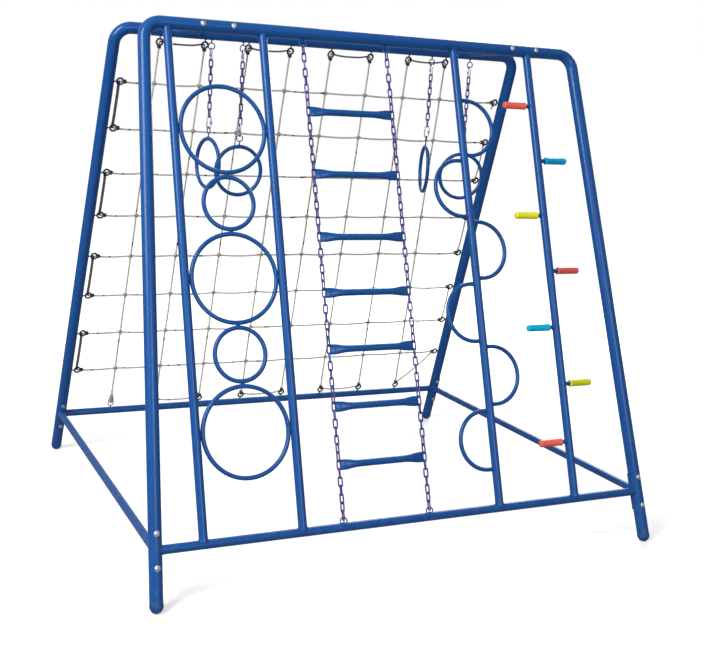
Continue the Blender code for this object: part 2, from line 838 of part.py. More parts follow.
def ladder_turn(index):
    """Return a ladder link's turn about the chain; it faces forwards where it holds a rung."""
    first = LADDER_RUNG_LINKS[0]
    last = LADDER_RUNG_LINKS[-1]
    turn = TOP_TURN * min(index, first)
    turn += LONG_TURN * max(0, min(index, LAST_LONG_LINK) - first)
    turn += SHORT_TURN * max(0, min(index, last) - LAST_LONG_LINK)
    turn += BOTTOM_TURN * max(0, index - last)
    return turn + 90


def ladder_chain(name, x, first, last, paint, pivot):
    """Build a stretch of the ladder's chain as one welded run of links."""
    up = slope_up(FRONT)
    bm = bmesh.new()
    above = None
    for index in range(first, last + 1):
        across = turned_across(X, up, ladder_turn(index))
        top = on_slope(FRONT, x, ladder_link_up(index))
        link = Link(bm, top, up, across,
                    LINK_HALF_WIDTH, ladder_half_length(), WIRE, LINK_SHOULDER)
        if above:
            fuse(bm, above.bottom_face, link.top_face)
        above = link
    return add_object(name, bm, paint, world_origin(pivot), pivot)


def rung(index, paint, pivot):
    """Build a rung: a tube pressed flat at both ends, each slotted over a link's side."""
    link = LADDER_RUNG_LINKS[index]
    up_dir = slope_up(FRONT)
    out_dir = slope_out(FRONT)
    height = ladder_link_up(link) - ladder_half_length()
    left = LADDER_X[0] + RUNG_TIP
    right = LADDER_X[1] - RUNG_TIP
    stations = [
        (0.0, RUNG_END_HALF_HEIGHT, RUNG_END_HALF_THICKNESS),
        (RUNG_FLAT, RUNG_END_HALF_HEIGHT, RUNG_END_HALF_THICKNESS),
        (RUNG_HALF_ROUND, (RUNG_END_HALF_HEIGHT + RUNG_R) / 2,
         (RUNG_END_HALF_THICKNESS + RUNG_R) / 2),
        (RUNG_ROUND, RUNG_R, RUNG_R),
    ]
    places = [(left + away, high, thick) for away, high, thick in stations]
    places += [(right - away, high, thick) for away, high, thick in reversed(stations)]
    bm = bmesh.new()
    rings = []
    for x, high, thick in places:
        centre = on_slope(FRONT, x, height)
        rings.append([
            bm.verts.new(centre + out_dir * a * thick + up_dir * b * high)
            for a, b in polygon(1.0, RUNG_SIDES)
        ])
    for ring_a, ring_b in zip(rings, rings[1:]):
        wrap(bm, ring_a, ring_b)
    bm.faces.new(rings[0])
    bm.faces.new(rings[-1])
    number = index + 1
    made = add_object("ladder_rung_{}".format(number), bm, paint, world_origin(pivot), pivot)
    slots = bmesh.new()
    for x, hand in ((left, RIGHT), (right, LEFT)):
        mouth = on_slope(FRONT, x - hand * RUNG_SLOT_DEPTH, height)
        floor = on_slope(FRONT, x + hand * RUNG_SLOT_DEPTH, height)
        high = 2 * RUNG_END_HALF_HEIGHT
        section = [(-RUNG_SLOT_HALF, -high), (RUNG_SLOT_HALF, -high),
                   (RUNG_SLOT_HALF, high), (-RUNG_SLOT_HALF, high)]
        tube(slots, [mouth, floor], section, up_dir)
    boolean(made, "DIFFERENCE", add_operand("rung_slots_{}".format(number), slots))


def chain_ladder(chain_paint, steel):
    """Build the chain ladder: two halves that bow at the middle rung, and seven rungs."""
    middle_x = sum(LADDER_X) / 2
    eye_wire_up = ladder_eye_up() - EYE_R
    upper = add_pivot("ladder_upper_pivot", on_slope(FRONT, middle_x, eye_wire_up))
    knee_up = ladder_link_up(KNEE_LINK) - 2 * ladder_half_length()
    lower = add_pivot("ladder_lower_pivot", on_slope(FRONT, middle_x, knee_up), upper)
    for hand, x in zip(("left", "right"), LADDER_X):
        ladder_chain("ladder_chain_upper_" + hand, x, 0, KNEE_LINK, chain_paint, upper)
        ladder_chain("ladder_chain_lower_" + hand, x, KNEE_LINK + 1, LADDER_LINKS - 1,
                     chain_paint, lower)
    for index, link in enumerate(LADDER_RUNG_LINKS):
        rung(index, steel, upper if link <= KNEE_LINK else lower)


class Net:
    """The rope net, built knot by knot in one mesh."""

    def __init__(self):
        """Place every knot and keep the four open sides of each."""
        self.bm = bmesh.new()
        self.knots = [[self.knot(row, column) for column in range(NET_LINES)]
                      for row in range(NET_LINES)]

    @staticmethod
    def crossing(row, column):
        """Return where a level rope crosses an upright one: x and height up the slope."""
        up = net_rise(row)
        share = (top_eye_up() - up) / (top_eye_up() - bottom_eye_up())
        x = net_top_x(column) + (net_bottom_x(column) - net_top_x(column)) * share
        return Vector((x, up))

    def knot(self, row, column):
        """Build the front and back of a knot, and return its open sides."""
        x, up = self.crossing(row, column)
        corner = {}
        for a in (-1, 1):
            for b in (-1, 1):
                for c in (-1, 1):
                    spot = on_slope(REAR, x + a * ROPE_HALF, up + b * ROPE_HALF, c * ROPE_HALF)
                    corner[a, b, c] = self.bm.verts.new(spot)
        for c in (-1, 1):
            tip = self.bm.verts.new(on_slope(REAR, x, up, c * KNOT_HALF))
            ring = [corner[-1, -1, c], corner[1, -1, c], corner[1, 1, c], corner[-1, 1, c]]
            for k in range(4):
                self.bm.faces.new((ring[k], ring[(k + 1) % 4], tip))
        square_turn = ((-1, -1), (1, -1), (1, 1), (-1, 1))
        return {
            "left": [corner[-1, b, c] for b, c in square_turn],
            "right": [corner[1, b, c] for b, c in square_turn],
            "below": [corner[a, -1, c] for a, c in square_turn],
            "above": [corner[a, 1, c] for a, c in square_turn],
        }

    def spans(self):
        """Run the ropes between neighbouring knots."""
        for row in range(NET_LINES):
            for column in range(NET_LINES):
                here = self.knots[row][column]
                if column + 1 < NET_LINES:
                    stitch(self.bm, here["right"], self.knots[row][column + 1]["left"])
                if row + 1 < NET_LINES:
                    stitch(self.bm, here["below"], self.knots[row + 1][column]["above"])

    @staticmethod
    def spot(place, out):
        """Return a world point from a place in the net's plane."""
        return on_slope(REAR, place.x, place.y, out)

    def through_eye(self, eye, knot_place, travel):
        """Return the points that take the rope from the net through an eye and onwards."""
        inwards = (knot_place - eye).normalized()
        return [
            self.spot(eye + inwards * LACE_REACH, -LACE_OFFSET),
            self.spot(eye, 0.0),
            self.spot(eye + travel * LACE_REACH, LACE_OFFSET),
        ]

    def lace(self, first, second):
        """Lace the rope from one knot through two eyes to the other knot."""
        eye_a, knot_a, open_a = first
        eye_b, knot_b, open_b = second
        travel = (eye_b - eye_a).normalized()
        path = self.through_eye(eye_a, knot_a, travel)
        path += self.through_eye(eye_b, knot_b, -travel)[::-1]
        rings = path_rings(self.bm, path, square(ROPE_HALF), slope_out(REAR))
        stitch(self.bm, open_a, rings[0])
        for ring_a, ring_b in zip(rings, rings[1:]):
            wrap(self.bm, ring_a, ring_b)
        stitch(self.bm, rings[-1], open_b)

    def tail(self, end, travel):
        """Pass the rope's end through its last eye."""
        eye, knot_place, opening = end
        path = self.through_eye(eye, knot_place, travel)
        path.append(self.spot(eye + travel * LACE_TAIL, LACE_OFFSET))
        rings = path_rings(self.bm, path, square(ROPE_HALF), slope_out(REAR))
        stitch(self.bm, opening, rings[0])
        for ring_a, ring_b in zip(rings, rings[1:]):
            wrap(self.bm, ring_a, ring_b)
        self.bm.faces.new(rings[-1])

    def leg_end(self, hand, row):
        """Return the eye, the knot and the opening at the side end of a level rope."""
        centre, _ = leg_eye(hand, net_rise(row))
        column = 0 if hand == LEFT else NET_LINES - 1
        opening = self.knots[row][column]["left" if hand == LEFT else "right"]
        return Vector((centre.x, net_rise(row))), self.crossing(row, column), opening

    def top_end(self, column):
        """Return the eye, the knot and the opening at the top of an upright rope."""
        eye = Vector((net_top_x(column), top_eye_up()))
        return eye, self.crossing(0, column), self.knots[0][column]["above"]

    def bottom_end(self, column):
        """Return the eye, the knot and the opening at the foot of an upright rope."""
        last = NET_LINES - 1
        eye = Vector((net_bottom_x(column), bottom_eye_up()))
        return eye, self.crossing(last, column), self.knots[last][column]["below"]

    def build(self, paint):
        """Lace the one rope round all its eyes and make the object."""
        self.spans()
        last = NET_LINES - 1
        for k in range(0, NET_LINES, 2):
            self.lace(self.leg_end(LEFT, k), self.leg_end(LEFT, k + 1))
            self.lace(self.top_end(k), self.top_end(k + 1))
        for k in range(1, last, 2):
            self.lace(self.leg_end(RIGHT, k), self.leg_end(RIGHT, k + 1))
            self.lace(self.bottom_end(k), self.bottom_end(k + 1))
        self.lace(self.leg_end(RIGHT, last), self.bottom_end(last))
        self.tail(self.leg_end(RIGHT, 0), Vector((0.0, -1.0)))
        self.tail(self.bottom_end(0), Vector((-1.0, 0.0)))
        return add_object("climbing_net", self.bm, paint)


def build_frames(steel, caps):
    """Build the two bent frames, their foot caps, bars, braces and spacers."""
    front = add_object("front_frame", main_frame(FRONT, TUBE_R), steel)
    boolean(front, "UNION", front_eyelets())
    rear = add_object("rear_frame", main_frame(REAR, TUBE_R), steel)
    boolean(rear, "UNION", rear_eyelets())
    for side, side_name in ((FRONT, "front"), (REAR, "rear")):
        for hand, hand_name in ((LEFT, "left"), (RIGHT, "right")):
            foot_cap("foot_cap_{}_{}".format(side_name, hand_name), side, hand, caps)
    bottom_bar("front_bottom_bar", FRONT, steel, front_bar_eyelets())
    bottom_bar("rear_bottom_bar", REAR, steel, rear_bar_eyelets())
    side_brace("left_side_brace", LEFT, steel)
    side_brace("right_side_brace", RIGHT, steel)
    for name, x in SPACER_X.items():
        top_spacer(name, x, steel)


def build_climbing_rails(steel, grip_paints):
    """Build the four rails of the front frame and what is fixed to them."""
    cutter = rail_cutter()
    for name, x in RAIL_X.items():
        made = rail(name, x, cutter, steel)
        if name == "peg_rail":
            boolean(made, "UNION", studs(x))
    ring_ladder(steel)
    snake_hoops(steel)
    for index in range(PEG_COUNT):
        paint = grip_paints[GRIP_COLOURS[index % len(GRIP_COLOURS)]]
        peg_grip(index, RAIL_X["peg_rail"], paint)


def main():
    """Build the whole climbing frame."""
    clear_scene()
    steel = material("blue_steel", PAINTED_BLUE, 0.28, 0.0)
    caps = material("blue_caps", PAINTED_BLUE, 0.45, 0.0)
    chain_paint = material("chain_steel", CHAIN_BLUE, 0.40, 0.6)
    zinc = material("zinc_steel", ZINC, 0.30, 1.0)
    rope = material("rope", ROPE_GREY, 0.95, 0.0)
    grips = {name: material("grip_" + name, colour, 0.35, 0.0)
             for name, colour in GRIP_PAINTS.items()}
    build_frames(steel, caps)
    build_climbing_rails(steel, grips)
    chain_ladder(chain_paint, steel)
    for index in range(len(GYM_X)):
        gym_assembly(index, chain_paint, zinc, steel)
    Net().build(rope)


main()
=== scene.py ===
"""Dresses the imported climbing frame: tubes, welds, bolts, chains, rope net, finishes and light."""

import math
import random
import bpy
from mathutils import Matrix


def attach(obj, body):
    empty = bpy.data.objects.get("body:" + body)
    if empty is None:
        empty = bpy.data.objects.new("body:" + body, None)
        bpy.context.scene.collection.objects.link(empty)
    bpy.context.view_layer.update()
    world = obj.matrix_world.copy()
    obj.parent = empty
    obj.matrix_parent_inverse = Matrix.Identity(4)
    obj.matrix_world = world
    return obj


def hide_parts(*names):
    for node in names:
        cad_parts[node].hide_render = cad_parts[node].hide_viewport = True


bl_info = {
    "name": "Garden climbing frame",
    "version": (1, 0, 0),
    "blender": (4, 5, 0),
    "location": "View3D > Sidebar > Climbing frame",
    "description": "Models the visible pieces of a tubular climbing frame over its packed solids",
    "category": "Object",
}

import bmesh
import bpy
from bpy.props import FloatProperty, FloatVectorProperty, IntProperty, PointerProperty
from mathutils import Matrix, Vector

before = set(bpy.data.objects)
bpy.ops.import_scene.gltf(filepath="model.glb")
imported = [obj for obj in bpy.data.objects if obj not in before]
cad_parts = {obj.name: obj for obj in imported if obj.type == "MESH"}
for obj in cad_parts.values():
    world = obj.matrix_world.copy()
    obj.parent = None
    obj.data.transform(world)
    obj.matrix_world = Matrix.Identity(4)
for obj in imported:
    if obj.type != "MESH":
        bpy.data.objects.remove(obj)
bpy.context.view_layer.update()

X = Vector((1.0, 0.0, 0.0))
Y = Vector((0.0, 1.0, 0.0))
Z = Vector((0.0, 0.0, 1.0))
FRONT = -1
REAR = 1
LEFT = -1
RIGHT = 1
SIDE_NAMES = {FRONT: "front", REAR: "rear"}
HAND_NAMES = {LEFT: "left", RIGHT: "right"}

# The two leaning frames, as the solids have them
TUBE_R = 0.020
FOOT_X = 0.87
FOOT_Y = 0.7365
TOP_Y = 0.17
TOP_Z = 1.64
TOP_HALF_LENGTH = 0.79
BEND_R = 0.056
SLOPE = math.hypot(FOOT_Y - TOP_Y, TOP_Z)
LEAN_SIN = (FOOT_Y - TOP_Y) / SLOPE
LEAN_COS = TOP_Z / SLOPE
CAP_R = 0.0205
CAP_FLAT_DEPTH = 0.0012
CAP_RIM = 0.006
CAP_MOUTH = (0.975, 0.975, 0.975)
SMOOTH_ANGLE = math.radians(42)

# Straight members
BAR_R = 0.0135
BAR_UP = 0.173
SPACER_R = 0.011
SIDE_BRACE_R = 0.013
RAIL_R = 0.0135
RAIL_X = {
    "ring_ladder_left_rail": -0.718,
    "ring_ladder_right_rail": -0.405,
    "hoop_rail": 0.297,
    "peg_rail": 0.598,
}
SPACER_X = {"left_top_spacer": -0.557, "right_top_spacer": 0.578}
SADDLE_HALF_ANGLE = math.radians(45)
LEG_SADDLE_LENGTH = 0.125
TOP_SADDLE_LENGTH = 0.135
SEAT_GAP = 0.0004
WELD_RUN = 0.06
WELD_STEPS = 28

# Rods bent into rings and hoops
ROD_R = 0.007
LADDER_RINGS = 5
SMALL_RING_R = 0.0805
MIDDLE_RING_UP = 0.946
HOOP_R = 0.0955
HOOP_REACH = 0.123
FIRST_HOOP_UP = 1.447
HOOP_PITCH = 0.2105
HOOP_COUNT = 6
HOOP_STEPS = 32
RAIL_TACK = (0.0034, 0.0056, 0.0075)
RING_TACK = (0.0070, 0.0050, 0.0032)

# Pegs
PEG_COUNT = 7
FIRST_PEG_UP = 1.535
PEG_PITCH = 0.195
STUD_R = 0.0075
STUD_LENGTH = 0.09
GRIP_R = 0.0118
GRIP_START = 0.030
GRIP_LENGTH = 0.088
GRIP_COLOURS = ("red", "cyan", "yellow")

# Chain, quick links and eyelets
WIRE = 0.0025
BEARING = 0.0003
LINK_HALF_WIDTH = 0.0060
GYM_PITCH = 0.024
LADDER_PITCH = 0.0254
EYE_WIRE = 0.0021
EYE_R = 0.0113
EYE_STANDOFF = 0.0205
EYE_WELD = (0.0050, 0.0062, 0.0024)
NECK_WELD = (0.0046, 0.0046, 0.0020)
QUICK_WIRE = 0.0022
QUICK_HALF_WIDTH = 0.0078
QUICK_HALF_LENGTH = 0.0215
SLEEVE_R = 0.0043
SLEEVE_LENGTH = 0.015
SLEEVE_UP = 0.001
HINGE_GAP = 0.0011
GYM_X = (-0.455, -0.3385, 0.422, 0.590)
GYM_LINKS = (8, 9, 8, 9)
GYM_TURN = (8.5, 0.0, -21.0, -12.7)
GYM_RING_R = 0.085
GYM_RING_DROP = 0.1076

# Chain ladder
LADDER_X = (-0.268, 0.034)
LADDER_RUNG_LINKS = (8, 16, 24, 31, 38, 45, 52)
LADDER_LINKS = 59
KNEE_LINK = 31
LAST_LONG_LINK = 24
LADDER_TOP_GAP = 0.0005
KNEE_GAP = 0.0003
LADDER_BOTTOM_PLAY = 0.0052
RUNG_TIP = 0.0036

# A rung's end: distance from the tip, half height and half thickness
RUNG_END = ((0.0, 0.0150, 0.0026), (0.0012, 0.0165, 0.0037), (0.017, 0.0163, 0.0039),
            (0.024, 0.0158, 0.0050), (0.034, 0.0145, 0.0074), (0.046, 0.0126, 0.0096),
            (0.060, 0.0113, 0.0108), (0.074, 0.0110, 0.0110))

# Rope net
NET_LINES = 8
NET_TOP_LEFT = -0.636
NET_TOP_STEP = 0.1605
NET_BOTTOM_LEFT = -0.663
NET_BOTTOM_STEP = 0.188
NET_FIRST_UP = 1.550
NET_LAST_UP = 0.378
LACE_OFFSET = 0.0068
LACE_REACH = 0.0094
LACE_TAIL = ((0.0, 0.0, 0.0), (0.001, 0.009, 0.007), (0.002, 0.030, 0.005))
SPAN_STEPS = 6
KNOT_HALF_WIDTHS = (0.0066, 0.00708)
KNOT_SHIFT = 0.0016
HITCHES_AWAY = (0.0020, 0.0070)
HITCH_TILT = 0.0012
WINDING_R = 0.0013
LASHING_R = 0.0019
LASHING_STEP = 0.0034
LASHING_TURNS = 10
LASHING_STEPS = 14
BRAID_PITCH = 0.0105
BRAID_STRANDS = 3
ROPE_ROUGHNESS = 0.85
COIL_TURNS = 16
COIL_STEPS = 7
COIL_R = 0.0031

# Bolts and nuts: their distance from a saddle's middle, and pairs of height and radius
LEG_BOLT_STEP = 0.048
TOP_BOLT_STEP = 0.050
HEAD_SINK = 0.0006
WASHER = ((0.0, 0.0088), (0.0014, 0.0088), (0.0016, 0.0084))
HEAD_DOME = ((0.0, 0.0066), (0.0012, 0.0068), (0.0028, 0.0058), (0.0040, 0.0040),
             (0.0046, 0.0012))
NUT_WASHER = ((0.0, 0.0080), (0.0012, 0.0080))
NUT_HEXAGON = ((0.0, 0.0062), (0.0005, 0.0068), (0.0048, 0.0068), (0.0054, 0.0060))
NUT_DOME = ((0.0, 0.0054), (0.0028, 0.0050), (0.0048, 0.0036), (0.0058, 0.0010))

# The studio: the sky as it lights and as it is mirrored, and the floor's glow by distance, which is
# painted light seen by the camera only
SKY_LIGHT = 0.10
SKY_MIRRORED = 0.50
PAPER_SEEN = (0.92, 0.92, 0.92, 1.0)
PAPER_BOUNCE = (0.38, 0.38, 0.38, 1.0)
GLOW_NEAR = (1.2, 0.36)
GLOW_FAR = (7.0, 0.96)
WHITE = (1.0, 1.0, 1.0, 1.0)

# The photograph's camera: place, turn as a rotation vector, focal length and centre in pixels
CAMERA_PLACE = Vector((-1.6489, -3.3112, 1.4032))
CAMERA_TURN = Vector((1.7513, -0.3175, 0.3319))
FOCAL_PIXELS = 1034.94
CENTRE_PIXELS = (282.0, 315.0)
IMAGE_PIXELS = (704, 659)
SENSOR_WIDTH = 36.0


class PaintSettings(bpy.types.PropertyGroup):
    """Colours of the finishes."""

    blue: FloatVectorProperty(
        name="Blue coat", description="Colour of the powder coat on the tubes",
        subtype="COLOR", size=3, min=0.0, max=1.0, default=(0.006, 0.084, 0.315))
    chain: FloatVectorProperty(
        name="Chain coat", description="Colour of the coated chain links",
        subtype="COLOR", size=3, min=0.0, max=1.0, default=(0.072, 0.060, 0.275))
    zinc: FloatVectorProperty(
        name="Zinc", description="Colour of the bolts, nuts and quick links",
        subtype="COLOR", size=3, min=0.0, max=1.0, default=(0.55, 0.56, 0.58))
    rope: FloatVectorProperty(
        name="Rope", description="Colour of the net's rope",
        subtype="COLOR", size=3, min=0.0, max=1.0, default=(0.72, 0.68, 0.60))
    fleck: FloatVectorProperty(
        name="Rope fleck", description="Colour of the dark strands in the rope",
        subtype="COLOR", size=3, min=0.0, max=1.0, default=(0.030, 0.032, 0.045))
    red: FloatVectorProperty(
        name="Red grip", description="Colour of the red grips",
        subtype="COLOR", size=3, min=0.0, max=1.0, default=(0.92, 0.135, 0.095))
    cyan: FloatVectorProperty(
        name="Light blue grip", description="Colour of the light blue grips",
        subtype="COLOR", size=3, min=0.0, max=1.0, default=(0.000, 0.450, 0.790))
    yellow: FloatVectorProperty(
        name="Yellow grip", description="Colour of the yellow grips",
        subtype="COLOR", size=3, min=0.0, max=1.0, default=(0.850, 0.860, 0.020))


class DetailSettings(bpy.types.PropertyGroup):
    """Sizes of the details."""

    bend_steps: IntProperty(
        name="Bend steps", description="Stretches in each bend of the main tubes",
        min=4, max=48, default=18)
    ring_steps: IntProperty(
        name="Ring steps", description="Stretches round each bent ring",
        min=16, max=128, default=64)
    bead: FloatProperty(
        name="Weld bead", description="Radius of the weld beads",
        min=0.0005, max=0.005, default=0.0019, precision=4, unit="LENGTH")
    rope_radius: FloatProperty(
        name="Rope radius", description="Radius of the net's rope",
        min=0.001, max=0.008, default=0.0032, precision=4, unit="LENGTH")
    rope_sag: FloatProperty(
        name="Rope sag", description="Most that the net's rope sags between two knots",
        min=0.0, max=0.01, default=0.0055, precision=4, unit="LENGTH")
    plate: FloatProperty(
        name="Saddle plate", description="Thickness of the bolted saddle plates",
        min=0.001, max=0.006, default=0.0025, precision=4, unit="LENGTH")


def on_slope(side, x, up, out=0.0):
    """Return a point of a leaning frame: up the slope from the ground line, and outwards."""
    y = FOOT_Y - up * LEAN_SIN + out * LEAN_COS
    z = up * LEAN_COS + out * LEAN_SIN
    return Vector((x, side * y, z))


def slope_up(side):
    """Return the direction up a leaning frame."""
    return on_slope(side, 0.0, 1.0) - on_slope(side, 0.0, 0.0)


def slope_out(side):
    """Return the outward normal of a leaning frame."""
    return on_slope(side, 0.0, 0.0, 1.0) - on_slope(side, 0.0, 0.0)


def leg_x(up):
    """Return a leg centreline's distance from the middle at a height up the slope."""
    return FOOT_X - (FOOT_X - TOP_HALF_LENGTH) * up / SLOPE


def leg_point(side, hand, up):
    """Return a point on a leg's centreline."""
    return on_slope(side, hand * leg_x(up), up)


def leg_direction(side, hand):
    """Return the direction up a leg."""
    return (leg_point(side, hand, SLOPE) - leg_point(side, hand, 0.0)).normalized()


def placed(origin, x_axis, y_axis, z_axis):
    """Return the matrix that puts a model's own axes along three directions at a point."""
    turn = Matrix((x_axis, y_axis, z_axis)).transposed().to_4x4()
    return Matrix.Translation(origin) @ turn


def facing(origin, direction):
    """Return the matrix that stands a model at a point with its Z along a direction."""
    return Matrix.Translation(origin) @ direction.to_track_quat("Z", "Y").to_matrix().to_4x4()


def rounded(points, radius, steps):
    """Replace the inner corners of a path by arcs."""
    path = [points[0]]
    for before, corner, after in zip(points, points[1:], points[2:]):
        to_before = (before - corner).normalized()
        to_after = (after - corner).normalized()
        half = to_before.angle(to_after) / 2
        centre = corner + (to_before + to_after).normalized() * (radius / math.sin(half))
        start = corner + to_before * (radius / math.tan(half)) - centre
        end = corner + to_after * (radius / math.tan(half)) - centre
        axis = start.cross(end).normalized()
        for k in range(steps + 1):
            path.append(centre + Matrix.Rotation(start.angle(end) * k / steps, 3, axis) @ start)
    path.append(points[-1])
    return path


def smooth_path(points, steps):
    """Return a smooth curve through the points."""
    last = len(points) - 1
    path = []
    for k in range(last):
        a, b, c, d = (points[max(k - 1, 0)], points[k], points[k + 1], points[min(k + 2, last)])
        for n in range(steps):
            t = n / steps
            path.append(0.5 * (2 * b + (c - a) * t + (2 * a - 5 * b + 4 * c - d) * t * t
                               + (3 * b - a - 3 * c + d) * t * t * t))
    path.append(points[-1])
    return path


def turns_of(count):
    """Return the angles of even steps round a circle."""
    return [2 * math.pi * n / count for n in range(count)]


def loop_path(centre, across, up, count):
    """Return a closed path round an ellipse with these two half axes."""
    return [centre + across * math.cos(t) + up * math.sin(t) for t in turns_of(count)]


def turned_across(axis, degrees):
    """Return X turned about an axis."""
    return Matrix.Rotation(math.radians(degrees), 3, axis) @ X


def deselect():
    """Leave edit mode and deselect everything."""
    if bpy.context.object and bpy.context.object.mode != "OBJECT":
        bpy.ops.object.mode_set(mode="OBJECT")
    bpy.ops.object.select_all(action="DESELECT")


def choose(things):
    """Select these objects only, with the first one active."""
    deselect()
    for thing in things:
        thing.select_set(True)
    bpy.context.view_layer.objects.active = things[0]


def edit_all():
    """Enter edit mode with everything selected."""
    bpy.ops.object.mode_set(mode="EDIT")
    bpy.ops.mesh.select_all(action="SELECT")


def close_edit(weld=False):
    """Turn the normals outwards, with doubled points welded or not, and leave edit mode."""
    bpy.ops.mesh.select_all(action="SELECT")
    if weld:
        bpy.ops.mesh.remove_doubles(threshold=0.00001)
    bpy.ops.mesh.normals_make_consistent(inside=False)
    bpy.ops.object.mode_set(mode="OBJECT")


def extrude(offset):
    """Extrude what is selected."""
    bpy.ops.mesh.extrude_region_move(TRANSFORM_OT_translate={"value": offset})


def soften(thing, width):
    """Bevel an object's sharp edges."""
    bevel = thing.modifiers.new("soft_edges", "BEVEL")
    bevel.width = width
    bevel.segments = 2
    bevel.limit_method = "ANGLE"
    bpy.ops.object.modifier_apply(modifier=bevel.name)


def bake_place(piece):
    """Move a piece's place into its mesh, so that the object stands at the origin."""
    choose([piece])
    bpy.ops.object.transform_apply(location=True, rotation=True, scale=True)


def copy_of(model, matrix):
    """Copy a model with its own mesh to a place."""
    copy = model.copy()
    copy.data = model.data.copy()
    bpy.context.scene.collection.objects.link(copy)
    copy.matrix_world = matrix
    return copy


def drop(*models):
    """Remove models once their copies stand in place."""
    for model in models:
        bpy.data.objects.remove(model, do_unlink=True)


def joined(parts):
    """Join several objects into one that stands at the origin."""
    choose(parts)
    if len(parts) > 1:
        bpy.ops.object.join()
    piece = bpy.context.object
    bake_place(piece)
    return piece


def settle(piece, name, finish, body="frame", stands_for=()):
    """Name a piece, give it its finish, and let it ride on its body."""
    piece.name = name
    piece.data.name = name
    piece.data.materials.clear()
    piece.data.materials.append(bpy.data.materials[finish])
    bake_place(piece)
    bpy.ops.object.shade_smooth_by_angle(angle=SMOOTH_ANGLE)
    if stands_for:
        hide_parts(*stands_for)
    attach(piece, body)
    return piece


def settle_steel(parts, node, ending="tube", body="frame"):
    """Join the parts of a coated steel piece that stands for its node."""
    settle(joined(parts), node + "_" + ending, "blue_powder_coat", body, [node])


def drawn_out(stations, vertices):
    """Extrude a disc up Z through stations of height and half sizes along X and Y."""
    deselect()
    bpy.ops.mesh.primitive_circle_add(vertices=vertices, radius=1.0, fill_type="NGON")
    made = bpy.context.object
    before = (0.0, 1.0, 1.0)
    edit_all()
    for number, (height, wide, deep) in enumerate(stations):
        if number:
            extrude((0.0, 0.0, height - before[0]))
        bpy.ops.transform.resize(value=(wide / before[1], deep / before[2], 1.0),
                                 center_override=(0.0, 0.0, height))
        before = (height, wide, deep)
    close_edit()
    return made


def turned(profile, vertices):
    """Extrude a disc up Z through pairs of height and radius."""
    return drawn_out([(height, wide, wide) for height, wide in profile], vertices)


def bent_tube(points, radius, closed=False, swell=None, rounds=6):
    """Bend a round tube along a path; swell gives each point its share of the radius."""
    deselect()
    bpy.ops.curve.primitive_nurbs_path_add(location=(0.0, 0.0, 0.0))
    curve = bpy.context.object.data
    curve.splines.clear()
    spline = curve.splines.new("POLY")
    spline.points.add(len(points) - 1)
    for k, point in enumerate(points):
        spline.points[k].co = (*point, 1.0)
        if swell:
            spline.points[k].radius = swell[k]
    spline.use_cyclic_u = closed
    curve.dimensions = "3D"
    curve.bevel_depth = radius
    curve.bevel_resolution = rounds
    curve.use_fill_caps = not closed
    bpy.ops.object.convert(target="MESH")
    tube = bpy.context.object
    if not closed:
        edit_all()
        close_edit(weld=True)
    return tube


def straight_tube(start, end, radius, flare, flare_length):
    """Add a straight tube whose two ends flare where they are welded on."""
    along = (end - start).normalized()
    length = (end - start).length
    half_flare = 1 + (flare - 1) * 0.3
    near = [(0.0, flare), (flare_length * 0.5, half_flare), (flare_length, 1.0)]
    stops = near + [(length - stop, share) for stop, share in reversed(near)]
    return bent_tube([start + along * stop for stop, _ in stops], radius,
                     swell=[share for _, share in stops])


def weld_bead(centre, along, radius, tube_axis, tube_r):
    """Add the rippled bead where a rod that aims at a tube's middle first meets the tube."""
    side = along.cross(tube_axis).normalized()
    slide = along - tube_axis * along.dot(tube_axis)
    pull = slide.dot(slide)
    start = centre - along * WELD_RUN
    line = []
    for spot in loop_path(start, side * radius, side.cross(along) * radius, WELD_STEPS):
        offset = spot - centre
        offset -= tube_axis * offset.dot(tube_axis)
        half = slide.dot(offset)
        rest = half * half - pull * (offset.dot(offset) - tube_r * tube_r)
        line.append(spot + along * ((-half - math.sqrt(max(rest, 0.0))) / pull))
    ripple = [1.0 + 0.16 * math.sin(5 * turn) for turn in turns_of(WELD_STEPS)]
    bead = bpy.context.scene.climbing_detail.bead
    return bent_tube(line, bead, closed=True, swell=ripple, rounds=2)


def ring_model(centre, normal, major, minor, steps, sides=16):
    """Add a closed ring."""
    deselect()
    bpy.ops.mesh.primitive_torus_add(
        location=centre, rotation=normal.to_track_quat("Z", "Y").to_euler(),
        major_radius=major, minor_radius=minor, major_segments=steps, minor_segments=sides)
    return bpy.context.object


def blob(centre, size, direction):
    """Add a tack weld: a small drop of metal between two rods that touch."""
    deselect()
    bpy.ops.mesh.primitive_uv_sphere_add(segments=16, ring_count=10, radius=1.0)
    drop_of_metal = bpy.context.object
    drop_of_metal.matrix_world = facing(centre, direction) @ Matrix.Diagonal((*size, 1.0))
    bake_place(drop_of_metal)
    return drop_of_metal


def link_model(half_width, half_length, wire, steps=20, sides=8):
    """Model one oval link in its own XY plane, long way up Y: a ring pulled apart."""
    deselect()
    bpy.ops.mesh.primitive_torus_add(
        location=(0.0, 0.0, 0.0), major_radius=half_width, minor_radius=wire,
        major_segments=steps, minor_segments=sides)
    link = bpy.context.object
    pull = half_length - half_width
    for sign in (1, -1):
        bpy.ops.object.mode_set(mode="EDIT")
        bpy.ops.mesh.select_all(action="DESELECT")
        bpy.ops.object.mode_set(mode="OBJECT")
        for vert in link.data.vertices:
            vert.select = vert.co.y * sign > half_width * 0.05
        bpy.ops.object.mode_set(mode="EDIT")
        bpy.ops.transform.translate(value=(0.0, sign * pull, 0.0))
        bpy.ops.object.mode_set(mode="OBJECT")
    return link


def hung(link, top, up, across, half_length):
    """Copy a link so that its top wire's middle is at a point."""
    return copy_of(link, placed(top - up * half_length, across, up, across.cross(up)))


